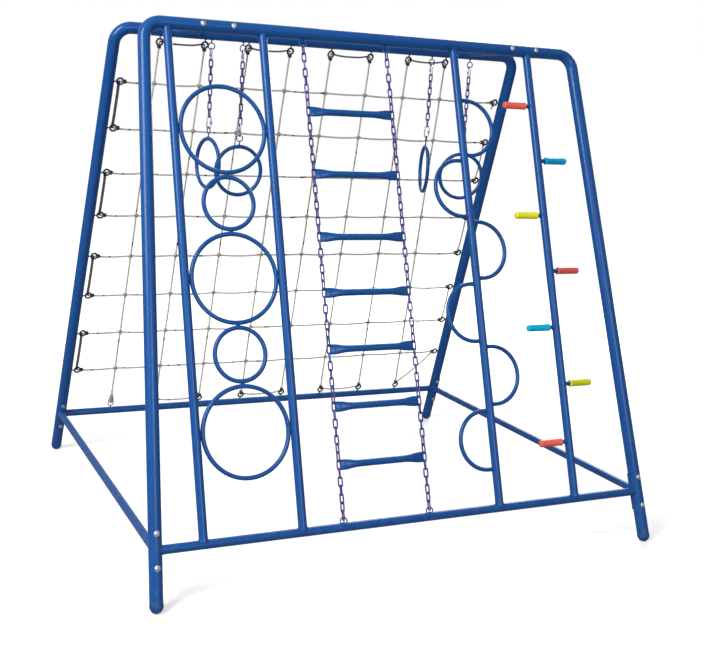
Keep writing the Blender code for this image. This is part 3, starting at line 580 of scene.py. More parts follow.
def eyelet_parts(centre, normal, toward, reach):
    """Add an eyelet: a wire ring, its neck down to the tube and the weld at its foot."""
    parts = [ring_model(centre, normal, EYE_R, EYE_WIRE, 24, 8)]
    weld = EYE_WELD
    if reach > EYE_R + EYE_WIRE:
        neck = [centre + toward * (EYE_R * 0.98), centre + toward * (reach + 0.004)]
        parts.append(bent_tube(neck, EYE_WIRE * 1.15, rounds=2))
        weld = NECK_WELD
    return parts + [blob(centre + toward * reach, weld, toward)]


def leg_eye(hand, up):
    """Return a net eyelet's centre beside a rear leg, and the direction to the leg."""
    toward = X * hand
    return leg_point(REAR, hand, up) - toward * (TUBE_R + EYE_STANDOFF), toward


def net_rise(row):
    """Return the height up the slope of one of the net's level ropes."""
    return NET_FIRST_UP + (NET_LAST_UP - NET_FIRST_UP) * row / (NET_LINES - 1)


TOP_EYE_UP = SLOPE - TUBE_R - EYE_STANDOFF
BOTTOM_EYE_UP = BAR_UP + BAR_R + EYE_STANDOFF
LADDER_EYE_UP = SLOPE - TUBE_R - EYE_R - EYE_WIRE / 2
LADDER_TOP_UP = LADDER_EYE_UP - EYE_R + EYE_WIRE + LADDER_TOP_GAP + WIRE
LADDER_HALF_LENGTH = (LADDER_PITCH + 2 * WIRE + BEARING) / 2


def ladder_link_up(index):
    """Return the height of the middle of a ladder link's top wire."""
    return LADDER_TOP_UP - LADDER_PITCH * index + (KNEE_GAP if index > KNEE_LINK else 0.0)


LADDER_LOW_EYE_UP = (ladder_link_up(LADDER_LINKS - 1) - 2 * LADDER_HALF_LENGTH
                     + WIRE + LADDER_BOTTOM_PLAY + EYE_WIRE - EYE_R)


def feed(tree, socket, value):
    """Link an output to a socket, or give the socket its own value."""
    if isinstance(value, bpy.types.NodeSocket):
        tree.links.new(value, socket)
    else:
        socket.default_value = value


def add_node(tree, kind, **values):
    """Add a shader node and feed its inputs, whose spaces are written as underscores."""
    node = tree.nodes.new("ShaderNode" + kind)
    for label, value in values.items():
        feed(tree, node.inputs[label.replace("_", " ")], value)
    return node


def noise_node(tree, place, scale, detail):
    """Add a noise texture."""
    return add_node(tree, "TexNoise", Vector=place, Scale=scale, Detail=detail).outputs["Fac"]


def map_node(tree, value, low, high, to_low, to_high):
    """Add a node that maps one range to another, clamped."""
    return add_node(tree, "MapRange", Value=value, From_Min=low, From_Max=high, To_Min=to_low,
                    To_Max=to_high).outputs["Result"]


def math_node(tree, operation, *values):
    """Add a maths node."""
    sum_node = tree.nodes.new("ShaderNodeMath")
    sum_node.operation = operation
    for socket, value in zip(sum_node.inputs, values):
        feed(tree, socket, value)
    return sum_node.outputs[0]


def mix_node(tree, mask, first, second):
    """Add a colour mix."""
    mix = tree.nodes.new("ShaderNodeMix")
    mix.data_type = "RGBA"
    for number, value in ((0, mask), (6, first), (7, second)):
        feed(tree, mix.inputs[number], value)
    return mix.outputs[2]


def new_group(name, inputs, outputs):
    """Start a shader node group: a vector, colour or number goes in, by its default value."""
    group = bpy.data.node_groups.new(name, "ShaderNodeTree")
    kinds = {tuple: "NodeSocketColor", float: "NodeSocketFloat"}
    for label, value in inputs.items():
        kind = kinds.get(type(value), "NodeSocketVector")
        socket = group.interface.new_socket(name=label, in_out="INPUT", socket_type=kind)
        if value is not None:
            socket.default_value = value
    for label in outputs:
        kind = "NodeSocketColor" if label == "Colour" else "NodeSocketFloat"
        group.interface.new_socket(name=label, in_out="OUTPUT", socket_type=kind)
    return group, group.nodes.new("NodeGroupInput").outputs


def end_group(group, **results):
    """Link a group's results to its output node."""
    output = group.nodes.new("NodeGroupOutput")
    for label, value in results.items():
        group.links.new(value, output.inputs[label])


def coat_group():
    """Build the group of a sprayed coat: pooled colour, fine peel, scuffs and dust low down."""
    group, given = new_group(
        "sprayed_coat",
        {"Place": None, "Colour": (0.0, 0.1, 0.4, 1.0), "Pooled": (0.0, 0.05, 0.2, 1.0),
         "Dust": (0.4, 0.38, 0.34, 1.0), "Gloss": 0.22, "Dull": 0.42, "Dust share": 0.25},
        ("Colour", "Roughness", "Height"))
    place = given["Place"]
    pools = map_node(group, noise_node(group, place, 9.0, 3.0), 0.35, 0.75, 0.0, 0.55)
    colour = mix_node(group, pools, given["Colour"], given["Pooled"])
    split = add_node(group, "SeparateXYZ", Vector=place)
    low = map_node(group, split.outputs["Z"], 0.0, 0.30, 1.0, 0.0)
    patches = map_node(group, noise_node(group, place, 38.0, 6.0), 0.48, 0.72, 0.0, 1.0)
    dust = math_node(group, "MULTIPLY", math_node(group, "MULTIPLY", low, patches),
                     given["Dust share"])
    smears = noise_node(group, place, 24.0, 5.0)
    end_group(group, Colour=mix_node(group, dust, colour, given["Dust"]),
              Roughness=map_node(group, smears, 0.40, 0.72, given["Gloss"], given["Dull"]),
              Height=noise_node(group, place, 420.0, 2.0))


def wear_group():
    """Build the group of rubbed metal: bare spots that show through a coat."""
    group, given = new_group(
        "rubbed_metal",
        {"Place": None, "Coat": (0.1, 0.1, 0.3, 1.0), "Bare": (0.4, 0.4, 0.45, 1.0),
         "Scale": 160.0, "Amount": 0.35},
        ("Colour", "Mask", "Roughness"))
    spots = noise_node(group, given["Place"], given["Scale"], 5.0)
    mask = math_node(group, "MULTIPLY", map_node(group, spots, 0.50, 0.66, 0.0, 1.0),
                     given["Amount"])
    end_group(group, Colour=mix_node(group, mask, given["Coat"], given["Bare"]), Mask=mask,
              Roughness=map_node(group, spots, 0.3, 0.7, 0.24, 0.5))


def braid_group():
    """Build the group of a braided rope on a UV map in metres along and turns around."""
    group, given = new_group(
        "braided_rope",
        {"UV": None, "Strand": (0.4, 0.4, 0.35, 1.0), "Fleck": (0.03, 0.03, 0.05, 1.0),
         "Groove": (0.1, 0.1, 0.09, 1.0), "Fleck share": 0.5},
        ("Colour", "Height"))
    split = add_node(group, "SeparateXYZ", Vector=given["UV"])
    along = math_node(group, "MULTIPLY", split.outputs["X"], 2 * math.pi / BRAID_PITCH)
    around = math_node(group, "MULTIPLY", split.outputs["Y"], 2 * math.pi * BRAID_STRANDS)
    rising = math_node(group, "SINE", math_node(group, "ADD", along, around))
    falling = math_node(group, "SINE", math_node(group, "SUBTRACT", along, around))
    height = math_node(group, "MAXIMUM", rising, falling)
    # Painted shade: the grooves between the strands are darkened towards the groove colour
    groove_shade = map_node(group, height, -0.2, 0.8, 1.0, 0.0)
    colour = mix_node(group, groove_shade, given["Strand"], given["Groove"])
    stretch = add_node(group, "Mapping", Scale=(75.0, 2.0, 1.0), Vector=given["UV"])
    cells = add_node(group, "TexVoronoi", Scale=1.0, Vector=stretch.outputs["Vector"])
    pick = add_node(group, "SeparateColor", Color=cells.outputs["Color"])
    dark = math_node(group, "LESS_THAN", pick.outputs[0], given["Fleck share"])
    end_group(group, Colour=mix_node(group, dark, colour, given["Fleck"]), Height=height)


def add_finish(name, shared, bump, metallic=0.0, coat=0.0, specular=0.25, **values):
    """Make a finish on a shared group; bump names its height, with distance and strength."""
    made = bpy.data.materials.new(name)
    made.use_nodes = True
    tree = made.node_tree
    shader = tree.nodes["Principled BSDF"]
    spot = tree.nodes.new("ShaderNodeTexCoord")
    group = tree.nodes.new("ShaderNodeGroup")
    group.node_tree = bpy.data.node_groups[shared]
    braided = shared == "braided_rope"
    if braided:
        tree.links.new(spot.outputs["UV"], group.inputs["UV"])
    else:
        tree.links.new(spot.outputs["Object"], group.inputs["Place"])
    for label, value in values.items():
        whole = value if isinstance(value, float) else (*value, 1.0)
        group.inputs[label.replace("_", " ")].default_value = whole
    height, distance, strength = bump
    bumped = add_node(tree, "Bump", Strength=strength, Distance=distance,
                      Height=group.outputs[height])
    looks = {"Base Color": group.outputs["Colour"], "Metallic": metallic, "Coat Weight": coat,
             "Coat Roughness": 0.08, "Specular IOR Level": specular,
             "Roughness": ROPE_ROUGHNESS if braided else group.outputs["Roughness"],
             "Normal": bumped.outputs["Normal"]}
    for label, value in looks.items():
        feed(tree, shader.inputs[label], value)


def coated(name, colour, pooled, gloss, dull, dust, coat):
    """Make a sprayed or moulded finish."""
    add_finish(name, "sprayed_coat", ("Height", 0.0004, 0.07), coat=coat, Colour=colour,
               Pooled=pooled, Gloss=gloss, Dull=dull, Dust_share=dust)


def worn(name, coat_colour, bare, scale, amount, metallic):
    """Make a rubbed metal finish."""
    add_finish(name, "rubbed_metal", ("Mask", 0.0003, 0.3), metallic, Coat=coat_colour,
               Bare=bare, Scale=scale, Amount=amount)


def roped(name, strand, fleck, share):
    """Make a braided rope finish."""
    # The rope's grooves take half its colour as painted shade
    add_finish(name, "braided_rope", ("Height", 0.0008, 0.7), specular=0.3, Strand=strand,
               Fleck=fleck, Groove=shaded(strand, 0.50), Fleck_share=share)


def shaded(colour, share):
    """Return a colour with its light cut to a share."""
    return tuple(part * share for part in colour)


class CLIMBING_OT_finishes(bpy.types.Operator):
    """Make the coats, metals, rope and plastics"""

    bl_idname = "climbing.finishes"
    bl_label = "Finishes"

    def execute(self, context):
        """Build the shared groups and every material."""
        paint = context.scene.climbing_paint
        coat_group()
        wear_group()
        braid_group()
        blue = tuple(paint.blue)
        deep = (blue[0] * 0.9, blue[1] * 0.72, blue[2] * 0.80)
        coated("blue_powder_coat", blue, deep, 0.27, 0.38, 0.10, 0.10)
        coated("blue_cap_plastic", (blue[0], blue[1] * 0.85, blue[2] * 0.85), deep, 0.32, 0.50,
               0.15, 0.1)
        for name in GRIP_COLOURS:
            colour = getattr(paint, name)
            coated("moulded_" + name, colour, shaded(colour, 0.82), 0.34, 0.48, 0.05, 0.0)
        worn("bright_zinc", paint.zinc, shaded(paint.zinc, 0.72), 240.0, 0.7, 1.0)
        worn("coated_chain", paint.chain, (0.30, 0.30, 0.36), 190.0, 0.45, 0.4)
        for name, share, flecks in (("net_rope", 1.0, 0.06), ("lace_rope", 0.38, 0.10),
                                    ("knot_rope", 0.66, 0.12), ("hitch_rope", 0.11, 0.35)):
            roped(name, shaded(paint.rope, share), paint.fleck, flecks)
        roped("lashing_cord", (0.66, 0.63, 0.58), (0.30, 0.29, 0.27), 0.20)
        return {"FINISHED"}


class CLIMBING_OT_frames(bpy.types.Operator):
    """Bend the two main tubes and fit their eyelets"""

    bl_idname = "climbing.frames"
    bl_label = "Main frames"

    def execute(self, context):
        """Add both frames."""
        steps = context.scene.climbing_detail.bend_steps
        start_up = (CAP_R - CAP_FLAT_DEPTH + CAP_RIM) / LEAN_COS
        for side in (FRONT, REAR):
            corners = [leg_point(side, hand, rise) for hand, rise in (
                (LEFT, start_up), (LEFT, SLOPE), (RIGHT, SLOPE), (RIGHT, start_up))]
            parts = [bent_tube(rounded(corners, BEND_R, steps), TUBE_R, rounds=8)]
            out = slope_out(side)
            up = slope_up(side)
            if side == FRONT:
                for x in LADDER_X:
                    parts += eyelet_parts(on_slope(side, x, LADDER_EYE_UP), out, up, EYE_R)
            else:
                for hand in (LEFT, RIGHT):
                    for row in range(NET_LINES):
                        centre, toward = leg_eye(hand, net_rise(row))
                        parts += eyelet_parts(centre, out, toward, EYE_STANDOFF)
                for column in range(NET_LINES):
                    centre = on_slope(side, NET_TOP_LEFT + NET_TOP_STEP * column, TOP_EYE_UP)
                    parts += eyelet_parts(centre, out, up, EYE_STANDOFF)
                for x in GYM_X:
                    centre = Vector((x, TOP_Y, TOP_Z - TUBE_R - EYE_STANDOFF))
                    parts += eyelet_parts(centre, Y, Z, EYE_STANDOFF)
            settle_steel(parts, SIDE_NAMES[side] + "_frame")
        return {"FINISHED"}


class CLIMBING_OT_caps(bpy.types.Operator):
    """Turn the domed caps on the four feet"""

    bl_idname = "climbing.caps"
    bl_label = "Foot caps"

    def execute(self, context):
        """Add the caps, each cut flat where it stands."""
        for side in (FRONT, REAR):
            for hand in (LEFT, RIGHT):
                axis = -leg_direction(side, hand)
                centre = leg_point(side, hand, (CAP_R - CAP_FLAT_DEPTH) / LEAN_COS)
                deselect()
                bpy.ops.mesh.primitive_uv_sphere_add(segments=40, ring_count=24, radius=CAP_R)
                cap = bpy.context.object
                cap.matrix_world = facing(centre, axis)
                bake_place(cap)
                edit_all()
                bpy.ops.mesh.bisect(plane_co=centre, plane_no=axis, clear_inner=True)
                extrude(-axis * CAP_RIM)
                bpy.ops.mesh.extrude_region_move()
                bpy.ops.transform.resize(value=CAP_MOUTH,
                                         center_override=centre - axis * CAP_RIM)
                bpy.ops.mesh.edge_face_add()
                bpy.ops.mesh.select_all(action="SELECT")
                bpy.ops.mesh.bisect(plane_co=(0.0, 0.0, 0.0), plane_no=Z, clear_inner=True,
                                    use_fill=True)
                close_edit()
                node = "foot_cap_{}_{}".format(SIDE_NAMES[side], HAND_NAMES[hand])
                settle(cap, node + "_dome", "blue_cap_plastic",
                       stands_for=[node])
        return {"FINISHED"}


class CLIMBING_OT_bars(bpy.types.Operator):
    """Weld the two bottom bars in, with their eyelets"""

    bl_idname = "climbing.bars"
    bl_label = "Bottom bars"

    def execute(self, context):
        """Add both bars."""
        for side in (FRONT, REAR):
            reach = leg_x(BAR_UP) - TUBE_R * 0.6
            parts = [straight_tube(on_slope(side, -reach, BAR_UP),
                                   on_slope(side, reach, BAR_UP), BAR_R, 1.10, 0.020)]
            for hand in (LEFT, RIGHT):
                parts.append(weld_bead(leg_point(side, hand, BAR_UP), X * hand, BAR_R,
                                       leg_direction(side, hand), TUBE_R))
            eyes = [(x, LADDER_LOW_EYE_UP) for x in LADDER_X]
            if side == REAR:
                eyes = [(NET_BOTTOM_LEFT + NET_BOTTOM_STEP * column, BOTTOM_EYE_UP)
                        for column in range(NET_LINES)]
            for x, rise in eyes:
                parts += eyelet_parts(on_slope(side, x, rise), slope_out(side),
                                      -slope_up(side), rise - BAR_UP - BAR_R)
            settle_steel(parts, SIDE_NAMES[side] + "_bottom_bar")
        return {"FINISHED"}


def saddle_plate(centre, axis, facing_way, length):
    """Add a saddle plate: a strip spun about the main tube, on the side that it faces."""
    thickness = bpy.context.scene.climbing_detail.plate
    side = axis.cross(facing_way).normalized()
    first = (facing_way * math.cos(SADDLE_HALF_ANGLE)
             - side * math.sin(SADDLE_HALF_ANGLE)).normalized()
    deselect()
    bpy.ops.mesh.primitive_plane_add(size=1.0)
    plate = bpy.context.object
    plate.matrix_world = placed(centre + first * (TUBE_R + SEAT_GAP + thickness / 2), axis,
                                first, axis.cross(first)) @ Matrix.Diagonal(
                                    (length, thickness, 1, 1))
    bake_place(plate)
    edit_all()
    # A spin turns against its axis
    bpy.ops.mesh.spin(steps=14, angle=-2 * SADDLE_HALF_ANGLE, center=centre, axis=axis)
    close_edit(weld=True)
    soften(plate, 0.0006)
    return plate


class CLIMBING_OT_braces(bpy.types.Operator):
    """Fit the side braces and the top spacers with their saddle plates"""

    bl_idname = "climbing.braces"
    bl_label = "Braces and spacers"

    def execute(self, context):
        """Add two braces and two spacers."""
        saddle_r = TUBE_R + context.scene.climbing_detail.plate
        sides = (FRONT, REAR)
        runs = []
        for hand in (LEFT, RIGHT):
            ends = [(leg_point(side, hand, BAR_UP), leg_direction(side, hand)) for side in sides]
            runs.append((HAND_NAMES[hand] + "_side_brace", SIDE_BRACE_R, LEG_SADDLE_LENGTH, ends))
        for name, x in SPACER_X.items():
            ends = [(on_slope(side, x, SLOPE), X) for side in sides]
            runs.append((name, SPACER_R, TOP_SADDLE_LENGTH, ends))
        for name, radius, length, ends in runs:
            along = (ends[1][0] - ends[0][0]).normalized()
            parts = [straight_tube(ends[0][0] + along * TUBE_R, ends[1][0] - along * TUBE_R,
                                   radius, 1.12, 0.016)]
            for side, (centre, axis) in zip(sides, ends):
                parts.append(saddle_plate(centre, axis, -slope_out(side), length))
                parts.append(weld_bead(centre, along * side, radius, axis, saddle_r))
            settle_steel(parts, name)
        return {"FINISHED"}


def peg_root(index):
    """Return where a peg's stud leaves its rail, and the way it points."""
    hand = LEFT if index % 2 == 0 else RIGHT
    return on_slope(FRONT, RAIL_X["peg_rail"], FIRST_PEG_UP - PEG_PITCH * index), X * hand


class CLIMBING_OT_rails(bpy.types.Operator):
    """Weld the four rails into the front frame"""

    bl_idname = "climbing.rails"
    bl_label = "Rails"

    def execute(self, context):
        """Add the rails, and the pegs' studs on their rail."""
        up = slope_up(FRONT)
        for name, x in RAIL_X.items():
            low = on_slope(FRONT, x, BAR_UP + BAR_R * 0.6)
            high = on_slope(FRONT, x, SLOPE - TUBE_R * 0.7)
            parts = [straight_tube(low, high, RAIL_R, 1.08, 0.018),
                     weld_bead(on_slope(FRONT, x, BAR_UP), -up, RAIL_R, X, BAR_R + 0.0006)]
            if name != "ring_ladder_left_rail":
                parts.append(weld_bead(on_slope(FRONT, x, SLOPE), up, RAIL_R, X, TUBE_R))
            if name == "peg_rail":
                for index in range(PEG_COUNT):
                    root, way = peg_root(index)
                    parts.append(bent_tube([root, root + way * STUD_LENGTH], STUD_R, rounds=4))
                    parts.append(weld_bead(root, -way, STUD_R, up, RAIL_R))
            settle_steel(parts, name)
        return {"FINISHED"}


class CLIMBING_OT_grips(bpy.types.Operator):
    """Mould the coloured grips over the pegs"""

    bl_idname = "climbing.grips"
    bl_label = "Peg grips"

    def execute(self, context):
        """Extrude one grip with a rolled mouth and a round tip, and copy it."""
        mouth = [(0.0, 0.80), (0.0, 0.96), (0.0010, 1.05), (0.0030, 1.07), (0.0046, 1.0)]
        tip = [(0.62, 1.0), (0.34, 0.94), (0.16, 0.80), (0.04, 0.52), (0.0, 0.16)]
        profile = [(height, share * GRIP_R) for height, share in mouth]
        profile += [(GRIP_LENGTH - GRIP_R * back, share * GRIP_R) for back, share in tip]
        model = turned(profile, 32)
        for index in range(PEG_COUNT):
            root, way = peg_root(index)
            grip = copy_of(model, facing(root + way * GRIP_START, way))
            node = "peg_grip_{}".format(index + 1)
            colour = GRIP_COLOURS[index % 3]
            settle(grip, node + "_sleeve", "moulded_" + colour,
                   stands_for=[node])
        drop(model)
        return {"FINISHED"}


class CLIMBING_OT_ring_ladder(bpy.types.Operator):
    """Bend the rings that stand between the first two rails"""

    bl_idname = "climbing.ring_ladder"
    bl_label = "Ring ladder"

    def execute(self, context):
        """Add the rings with the tack welds that hold them."""
        steps = context.scene.climbing_detail.ring_steps
        left = RAIL_X["ring_ladder_left_rail"]
        right = RAIL_X["ring_ladder_right_rail"]
        reach = ROD_R + SEAT_GAP
        big_r = (right - left) / 2 - RAIL_R - reach
        pitch = big_r + SMALL_RING_R + 2 * reach
        up = slope_up(FRONT)
        for index in range(LADDER_RINGS):
            big = index % 2 == 0
            radius = big_r if big else SMALL_RING_R
            centre = on_slope(FRONT, (left + right) / 2, MIDDLE_RING_UP + pitch * (2 - index))
            parts = [ring_model(centre, slope_out(FRONT), radius, ROD_R, steps)]
            if big:
                for hand in (LEFT, RIGHT):
                    parts.append(blob(centre + X * hand * (radius + ROD_R), RAIL_TACK, up))
            if index < LADDER_RINGS - 1:
                parts.append(blob(centre - up * (radius + ROD_R), RING_TACK, up))
            settle_steel(parts, "ladder_ring_{}".format(index + 1), "rod")
        return {"FINISHED"}


class CLIMBING_OT_hoops(bpy.types.Operator):
    """Bend the half hoops on their rail"""

    bl_idname = "climbing.hoops"
    bl_label = "Hoops"

    def execute(self, context):
        """Add the hoops with the welds at both ends."""
        x = RAIL_X["hoop_rail"]
        up = slope_up(FRONT)
        for index in range(HOOP_COUNT):
            hand = RIGHT if index % 2 == 0 else LEFT
            rise = FIRST_HOOP_UP - HOOP_PITCH * index
            path = [on_slope(FRONT, x + hand * RAIL_R * 0.6, rise + HOOP_R)]
            for k in range(HOOP_STEPS + 1):
                turn = math.pi / 2 - math.pi * k / HOOP_STEPS
                away = HOOP_REACH - HOOP_R + HOOP_R * math.cos(turn)
                path.append(on_slope(FRONT, x + hand * away, rise + HOOP_R * math.sin(turn)))
            path.append(on_slope(FRONT, x + hand * RAIL_R * 0.6, rise - HOOP_R))
            parts = [bent_tube(path, ROD_R, rounds=4)]
            for end in (HOOP_R, -HOOP_R):
                centre = on_slope(FRONT, x, rise + end)
                parts.append(weld_bead(centre, -X * hand, ROD_R, up, RAIL_R))
            settle_steel(parts, "snake_hoop_{}".format(index + 1), "rod")
        return {"FINISHED"}


def ladder_turn(index):
    """Return a ladder link's turn about the chain; it faces forwards where it holds a rung."""
    first = LADDER_RUNG_LINKS[0]
    last = LADDER_RUNG_LINKS[-1]
    turn = 7 * 90 / 8 * min(index, first)
    turn += 90 * max(0, min(index, LAST_LONG_LINK) - first)
    turn += 6 * 90 / 7 * max(0, min(index, last) - LAST_LONG_LINK)
    turn += 5 * 90 / 6 * max(0, index - last)
    return turn + 90


class CLIMBING_OT_chain_ladder(bpy.types.Operator):
    """Hang the chain ladder with its rungs"""

    bl_idname = "climbing.chain_ladder"
    bl_label = "Chain ladder"

    def execute(self, context):
        """Add four runs of chain and the rungs."""
        up = slope_up(FRONT)
        link = link_model(LINK_HALF_WIDTH, LADDER_HALF_LENGTH, WIRE)
        halves = (("upper", 0, KNEE_LINK), ("lower", KNEE_LINK + 1, LADDER_LINKS - 1))
        for hand, x in zip(("left", "right"), LADDER_X):
            for half, first, last in halves:
                parts = [hung(link, on_slope(FRONT, x, ladder_link_up(index)), up,
                              turned_across(up, ladder_turn(index)), LADDER_HALF_LENGTH)
                         for index in range(first, last + 1)]
                node = "ladder_chain_{}_{}".format(half, hand)
                settle(joined(parts), node + "_links", "coated_chain",
                       "ladder_" + half, [node])
        length = LADDER_X[1] - LADDER_X[0] - 2 * RUNG_TIP
        stations = [(z, thick, high) for z, high, thick in RUNG_END]
        stations += [(length - z, thick, high) for z, thick, high in reversed(stations)]
        rung = drawn_out(stations, 28)
        for index, held in enumerate(LADDER_RUNG_LINKS):
            start = on_slope(FRONT, LADDER_X[1] - RUNG_TIP,
                             ladder_link_up(held) - LADDER_HALF_LENGTH)
            body = "ladder_upper" if held <= KNEE_LINK else "ladder_lower"
            copy = copy_of(rung, placed(start, slope_out(FRONT), up, -X))
            settle_steel([copy], "ladder_rung_{}".format(index + 1), "tube", body)
        drop(link, rung)
        return {"FINISHED"}


def quick_link_model():
    """Model an oval quick link with its threaded sleeve."""
    link = link_model(QUICK_HALF_WIDTH, QUICK_HALF_LENGTH, QUICK_WIRE, 32, 10)
    deselect()
    bpy.ops.mesh.primitive_cylinder_add(
        vertices=6, radius=SLEEVE_R, depth=SLEEVE_LENGTH,
        location=(QUICK_HALF_WIDTH, SLEEVE_UP, 0.0), rotation=(math.pi / 2, 0.0, 0.0))
    sleeve = bpy.context.object
    soften(sleeve, 0.0005)
    return joined([link, sleeve])


class CLIMBING_OT_gym_rings(bpy.types.Operator):
    """Hang the gym rings on their quick links and chains"""

    bl_idname = "climbing.gym_rings"
    bl_label = "Gym rings"

    def execute(self, context):
        """Add the four hanging sets."""
        steps = context.scene.climbing_detail.ring_steps
        half_length = (GYM_PITCH + 2 * WIRE + BEARING) / 2
        link = link_model(LINK_HALF_WIDTH, half_length, WIRE)
        quick = quick_link_model()
        for index, (x, links, twist) in enumerate(zip(GYM_X, GYM_LINKS, GYM_TURN)):
            number = index + 1
            eye_wire = Vector((x, TOP_Y, TOP_Z - TUBE_R - EYE_STANDOFF - EYE_R))
            top = eye_wire + Z * (EYE_WIRE + HINGE_GAP + QUICK_WIRE)
            node = "quick_link_{}".format(number)
            settle(hung(quick, top, Z, Y, QUICK_HALF_LENGTH), node + "_oval", "bright_zinc",
                   node, [node])
            bearing = top - Z * 2 * QUICK_HALF_LENGTH
            wire_top = bearing + Z * (QUICK_WIRE + HINGE_GAP + WIRE)
            parts = [hung(link, wire_top - Z * GYM_PITCH * k, Z,
                          turned_across(Z, 90 * k + twist * k / links), half_length)
                     for k in range(links)]
            body = "gym_chain_{}".format(number)
            settle(joined(parts), body + "_links", "coated_chain", body, [body])
            across = turned_across(Z, 90 * links + twist)
            chain_end = wire_top - Z * (GYM_PITCH * (links - 1) + 2 * half_length)
            lower_top = chain_end + Z * (WIRE + BEARING + QUICK_WIRE)
            settle(hung(quick, lower_top, Z, across, QUICK_HALF_LENGTH), body + "_lower_link",
                   "bright_zinc", body)
            lower_end = lower_top - Z * 2 * QUICK_HALF_LENGTH
            eye_top = lower_end + Z * (QUICK_WIRE + HINGE_GAP + EYE_WIRE)
            eye_centre = eye_top - Z * EYE_R
            centre = eye_centre - Z * (GYM_RING_DROP + ROD_R)
            parts = [ring_model(centre, across, GYM_RING_R, ROD_R, steps)]
            parts += eyelet_parts(eye_centre, across, -Z, GYM_RING_DROP - GYM_RING_R)
            node = "gym_ring_{}".format(number)
            settle_steel(parts, node, "rod", node)
        drop(link, quick)
        return {"FINISHED"}


def rope_mesh(name, paths, radius, closed=False, sides=8):
    """Sweep ropes along paths with UVs: metres along the rope, and turns around it."""
    mesh = bmesh.new()
    layer = mesh.loops.layers.uv.new("rope_uv")
    for path in paths:
        count = len(path)
        rings = []
        lengths = [0.0]
        normal = Vector((0.31, 0.17, 0.93))
        for k, point in enumerate(path):
            if closed:
                tangent = (path[(k + 1) % count] - path[k - 1]).normalized()
            else:
                tangent = (path[min(k + 1, count - 1)] - path[max(k - 1, 0)]).normalized()
            normal = (normal - tangent * normal.dot(tangent)).normalized()
            ring = loop_path(point, normal * radius, tangent.cross(normal) * radius, sides)
            rings.append([mesh.verts.new(spot) for spot in ring])
            if k:
                lengths.append(lengths[-1] + (point - path[k - 1]).length)
        turn_back = 0
        if closed:
            lengths.append(lengths[-1] + (path[0] - path[-1]).length)
            turn_back = min(range(sides), key=lambda s: sum(
                (rings[0][(n + s) % sides].co - rings[-1][n].co).length for n in range(sides)))
        stretches = count if closed else count - 1
        for k in range(stretches):
            shift = turn_back if k == count - 1 else 0
            after = rings[(k + 1) % count]
            for n in range(sides):
                m = (n + 1) % sides
                face = mesh.faces.new((rings[k][n], rings[k][m],
                                       after[(m + shift) % sides], after[(n + shift) % sides]))
                spots = ((lengths[k], n), (lengths[k], n + 1),
                         (lengths[k + 1], n + 1), (lengths[k + 1], n))
                for corner, (along, around) in zip(face.loops, spots):
                    corner[layer].uv = (along, around / sides)
        if not closed:
            mesh.faces.new(rings[0][::-1])
            mesh.faces.new(rings[-1])
    bmesh.ops.recalc_face_normals(mesh, faces=mesh.faces)
    data = bpy.data.meshes.new(name)
    mesh.to_mesh(data)
    mesh.free()
    piece = bpy.data.objects.new(name, data)
    bpy.context.scene.collection.objects.link(piece)
    return piece


def add_rope(name, finish, paths, radius, closed=False, sides=8, stands_for=()):
    """Sweep ropes along paths and settle them as one piece."""
    piece = rope_mesh(name, paths, radius, closed, sides)
    settle(piece, name, finish, stands_for=stands_for)


def net_point(spot, out=0.0):
    """Return a point of the net's leaning plane, from its x and its height up the slope."""
    return on_slope(REAR, spot.x, spot.y, out)


def crossing(row, column):
    """Return where a level rope crosses an upright one: x and height up the slope."""
    up = net_rise(row)
    share = (TOP_EYE_UP - up) / (TOP_EYE_UP - BOTTOM_EYE_UP)
    top_x = NET_TOP_LEFT + NET_TOP_STEP * column
    low_x = NET_BOTTOM_LEFT + NET_BOTTOM_STEP * column
    return Vector((top_x + (low_x - top_x) * share, up))


def flat_eye(where, number):
    """Return an eyelet of the net's edge: its place in the net's plane and the knot beside it."""
    last = NET_LINES - 1
    if where == "top":
        return (Vector((NET_TOP_LEFT + NET_TOP_STEP * number, TOP_EYE_UP)),
                crossing(0, number))
    if where == "bottom":
        return (Vector((NET_BOTTOM_LEFT + NET_BOTTOM_STEP * number, BOTTOM_EYE_UP)),
                crossing(last, number))
    hand = LEFT if where == "left" else RIGHT
    centre, _ = leg_eye(hand, net_rise(number))
    return Vector((centre.x, net_rise(number))), crossing(number, 0 if hand == LEFT else last)


def eye_axes(eye, knot):
    """Return an edge eyelet's way to its knot: in the net's plane, in space, and its side."""
    inward = (knot - eye).normalized()
    toward = net_point(eye + inward) - net_point(eye)
    return inward, toward, toward.cross(slope_out(REAR))


def sagging_run(stops, level, chance):
    """Return a rope that bows a little between its knots."""
    points = []
    for a, b in zip(stops, stops[1:]):
        sag = bpy.context.scene.climbing_detail.rope_sag * (0.4 + 0.6 * chance.random())
        lean = chance.uniform(-0.35, 0.35)
        bow = Vector((0.0, -sag)) if level else Vector((sag * lean, 0.0))
        for n in range(SPAN_STEPS):
            t = n / SPAN_STEPS
            points.append(net_point(a + (b - a) * t + bow * (4 * t * (1 - t))))
    return points + [net_point(stops[-1])]


def lace_path(eye_a, eye_b, most_sag):
    """Return a lace that runs from one eyelet to the next in front of the net."""
    travel = (eye_b - eye_a).normalized()
    stops = [net_point(eye_a), net_point(eye_a + travel * LACE_REACH, LACE_OFFSET)]
    for t in (0.25, 0.5, 0.75):
        sag = Vector((0.0, 4 * t * (1 - t) * most_sag * abs(travel.x)))
        stops.append(net_point(eye_a + (eye_b - eye_a) * t - sag, LACE_OFFSET * 0.6))
    stops += [net_point(eye_b - travel * LACE_REACH, LACE_OFFSET), net_point(eye_b)]
    return smooth_path(stops, 5)


